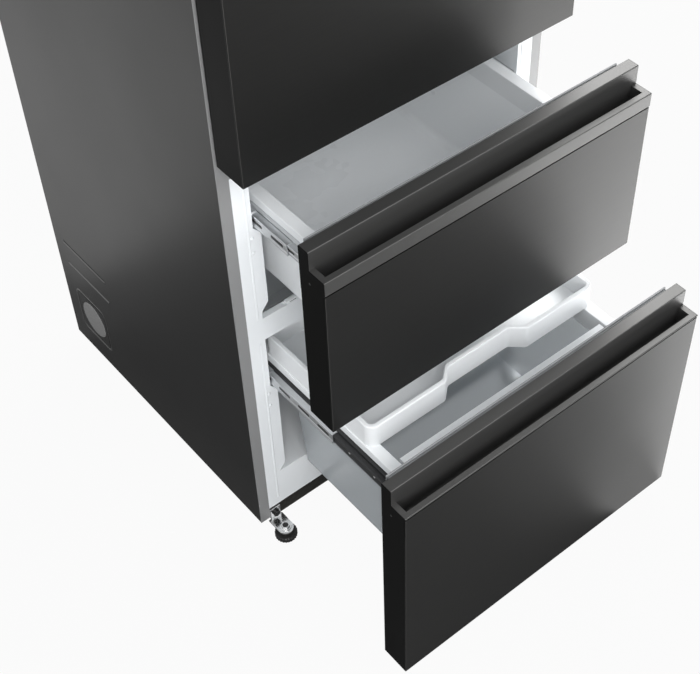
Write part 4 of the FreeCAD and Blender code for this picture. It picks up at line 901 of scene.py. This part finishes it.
# glow along the floor at the right, soft at its edge: where each layer starts, where it ends, how bright it is
lowSweep = {"turn": 45.0, "height": 0.02, "rise": 0.001, "near": 0.48, "end": 0.70,
            "layers": [(-0.72, 2.2, 0.20), (-0.46, 2.2, 0.22), (-0.28, 2.2, 0.3), (-0.14, 2.2, 0.7),
                       (-0.06, 2.2, 1.6), (0.03, 2.2, 3.0), (-0.26, 0.95, 0.7), (-0.14, 0.95, 1.4)]}
photoView = {"place": (-1.00355, -1.32256, 2.00614), "turn": (42.3434, -0.1076, -40.4679), "lens": 71.6445,
             "sensor": 36.0, "shift": (-0.08603, 0.00781), "clip": (0.05, 60.0)}


def showWhite(tree, plain, white, outKind, toCamera):
    # mixes in pure white by the share that each kind of ray sees
    path = addNode(tree, "ShaderNodeLightPath").outputs
    camera = math2(tree, "MULTIPLY", path["Is Camera Ray"], toCamera)
    glossy = math2(tree, "MULTIPLY", path["Is Glossy Ray"], studio["toGlossy"])
    through = math2(tree, "MULTIPLY", path["Is Transmission Ray"], studio["toCamera"])
    share = math2(tree, "MAXIMUM", math2(tree, "MAXIMUM", camera, glossy), through)
    blend = addNode(tree, "ShaderNodeMixShader", {0: share, 1: plain.outputs[0], 2: white.outputs[0]})
    addNode(tree, outKind, {"Surface": blend.outputs[0]})


def makeFloor():
    half = studio["floorSize"] / 2
    shape = bpy.data.meshes.new("studioFloor")
    corners = [(x * half, y * half, -studio["floorDrop"]) for x, y in ((-1, -1), (1, -1), (1, 1), (-1, 1))]
    shape.from_pydata(corners, [], [(0, 1, 2, 3)])
    floor = bpy.data.objects.new("studioFloor", shape)
    scene.collection.objects.link(floor)
    paper = bpy.data.materials.new("floorPaper")
    tree = clearedTree(paper)
    matt = addNode(tree, "ShaderNodeBsdfDiffuse", {"Color": (*studio["floorColour"], 1.0)})
    showWhite(tree, matt, addNode(tree, "ShaderNodeEmission"), "ShaderNodeOutputMaterial", studio["toCamera"])
    shape.materials.append(paper)


def makeSky():
    scene.world = bpy.data.worlds.new("studioSky")
    tree = clearedTree(scene.world)
    dim, white = [addNode(tree, "ShaderNodeBackground", {"Color": (*colour, 1.0), "Strength": strength})
                  for colour, strength in ((studio["skyColour"], studio["sky"]), ((1.0, 1.0, 1.0), 1.0))]
    showWhite(tree, dim, white, "ShaderNodeOutputWorld", 1.0)


def addPanel(name, size, power, place):
    # flat lamp that the camera doesn't see
    lamp = bpy.data.lights.new(name, "AREA")
    lamp.shape = "RECTANGLE"
    lamp.size, lamp.size_y = size
    lamp.energy = power
    panel = bpy.data.objects.new(name, lamp)
    panel.location = place
    panel.visible_camera = False
    scene.collection.objects.link(panel)
    return panel


def addSoftbox(name, spec):
    box = addPanel(name, spec["size"], spec["power"], spec["place"])
    box.rotation_mode = "QUATERNION"
    box.rotation_quaternion = (Vector(spec["aim"]) - Vector(spec["place"])).to_track_quat("-Z", "Y")


def addLowSweep():
    turn, near, end = math.radians(lowSweep["turn"]), lowSweep["near"], lowSweep["end"]
    for number, (start, far, bright) in enumerate(lowSweep["layers"]):
        size = (end - start, far - near)
        across, along = (start + end) / 2, (near + far) / 2
        place = (across * math.cos(turn) + along * math.sin(turn),
                 across * math.sin(turn) - along * math.cos(turn),
                 lowSweep["height"] + number * lowSweep["rise"])
        glow = addPanel("lowSweep", size, math.pi * size[0] * size[1] * bright, place)
        glow.rotation_euler = (math.pi, 0.0, turn)


def addCamera():
    lens = bpy.data.cameras.new("photoView")
    lens.lens, lens.sensor_width = photoView["lens"], photoView["sensor"]
    lens.shift_x, lens.shift_y = photoView["shift"]
    lens.clip_start, lens.clip_end = photoView["clip"]
    view = bpy.data.objects.new("photoView", lens)
    view.location = photoView["place"]
    view.rotation_euler = [math.radians(a) for a in photoView["turn"]]
    scene.collection.objects.link(view)
    scene.camera = view


makeFloor()
makeSky()
for boxName, boxSpec in softboxes.items():
    addSoftbox(boxName, boxSpec)
addLowSweep()
addCamera()
scene.view_settings.view_transform = "Standard"
print("studio:", len(softboxes), "softboxes")
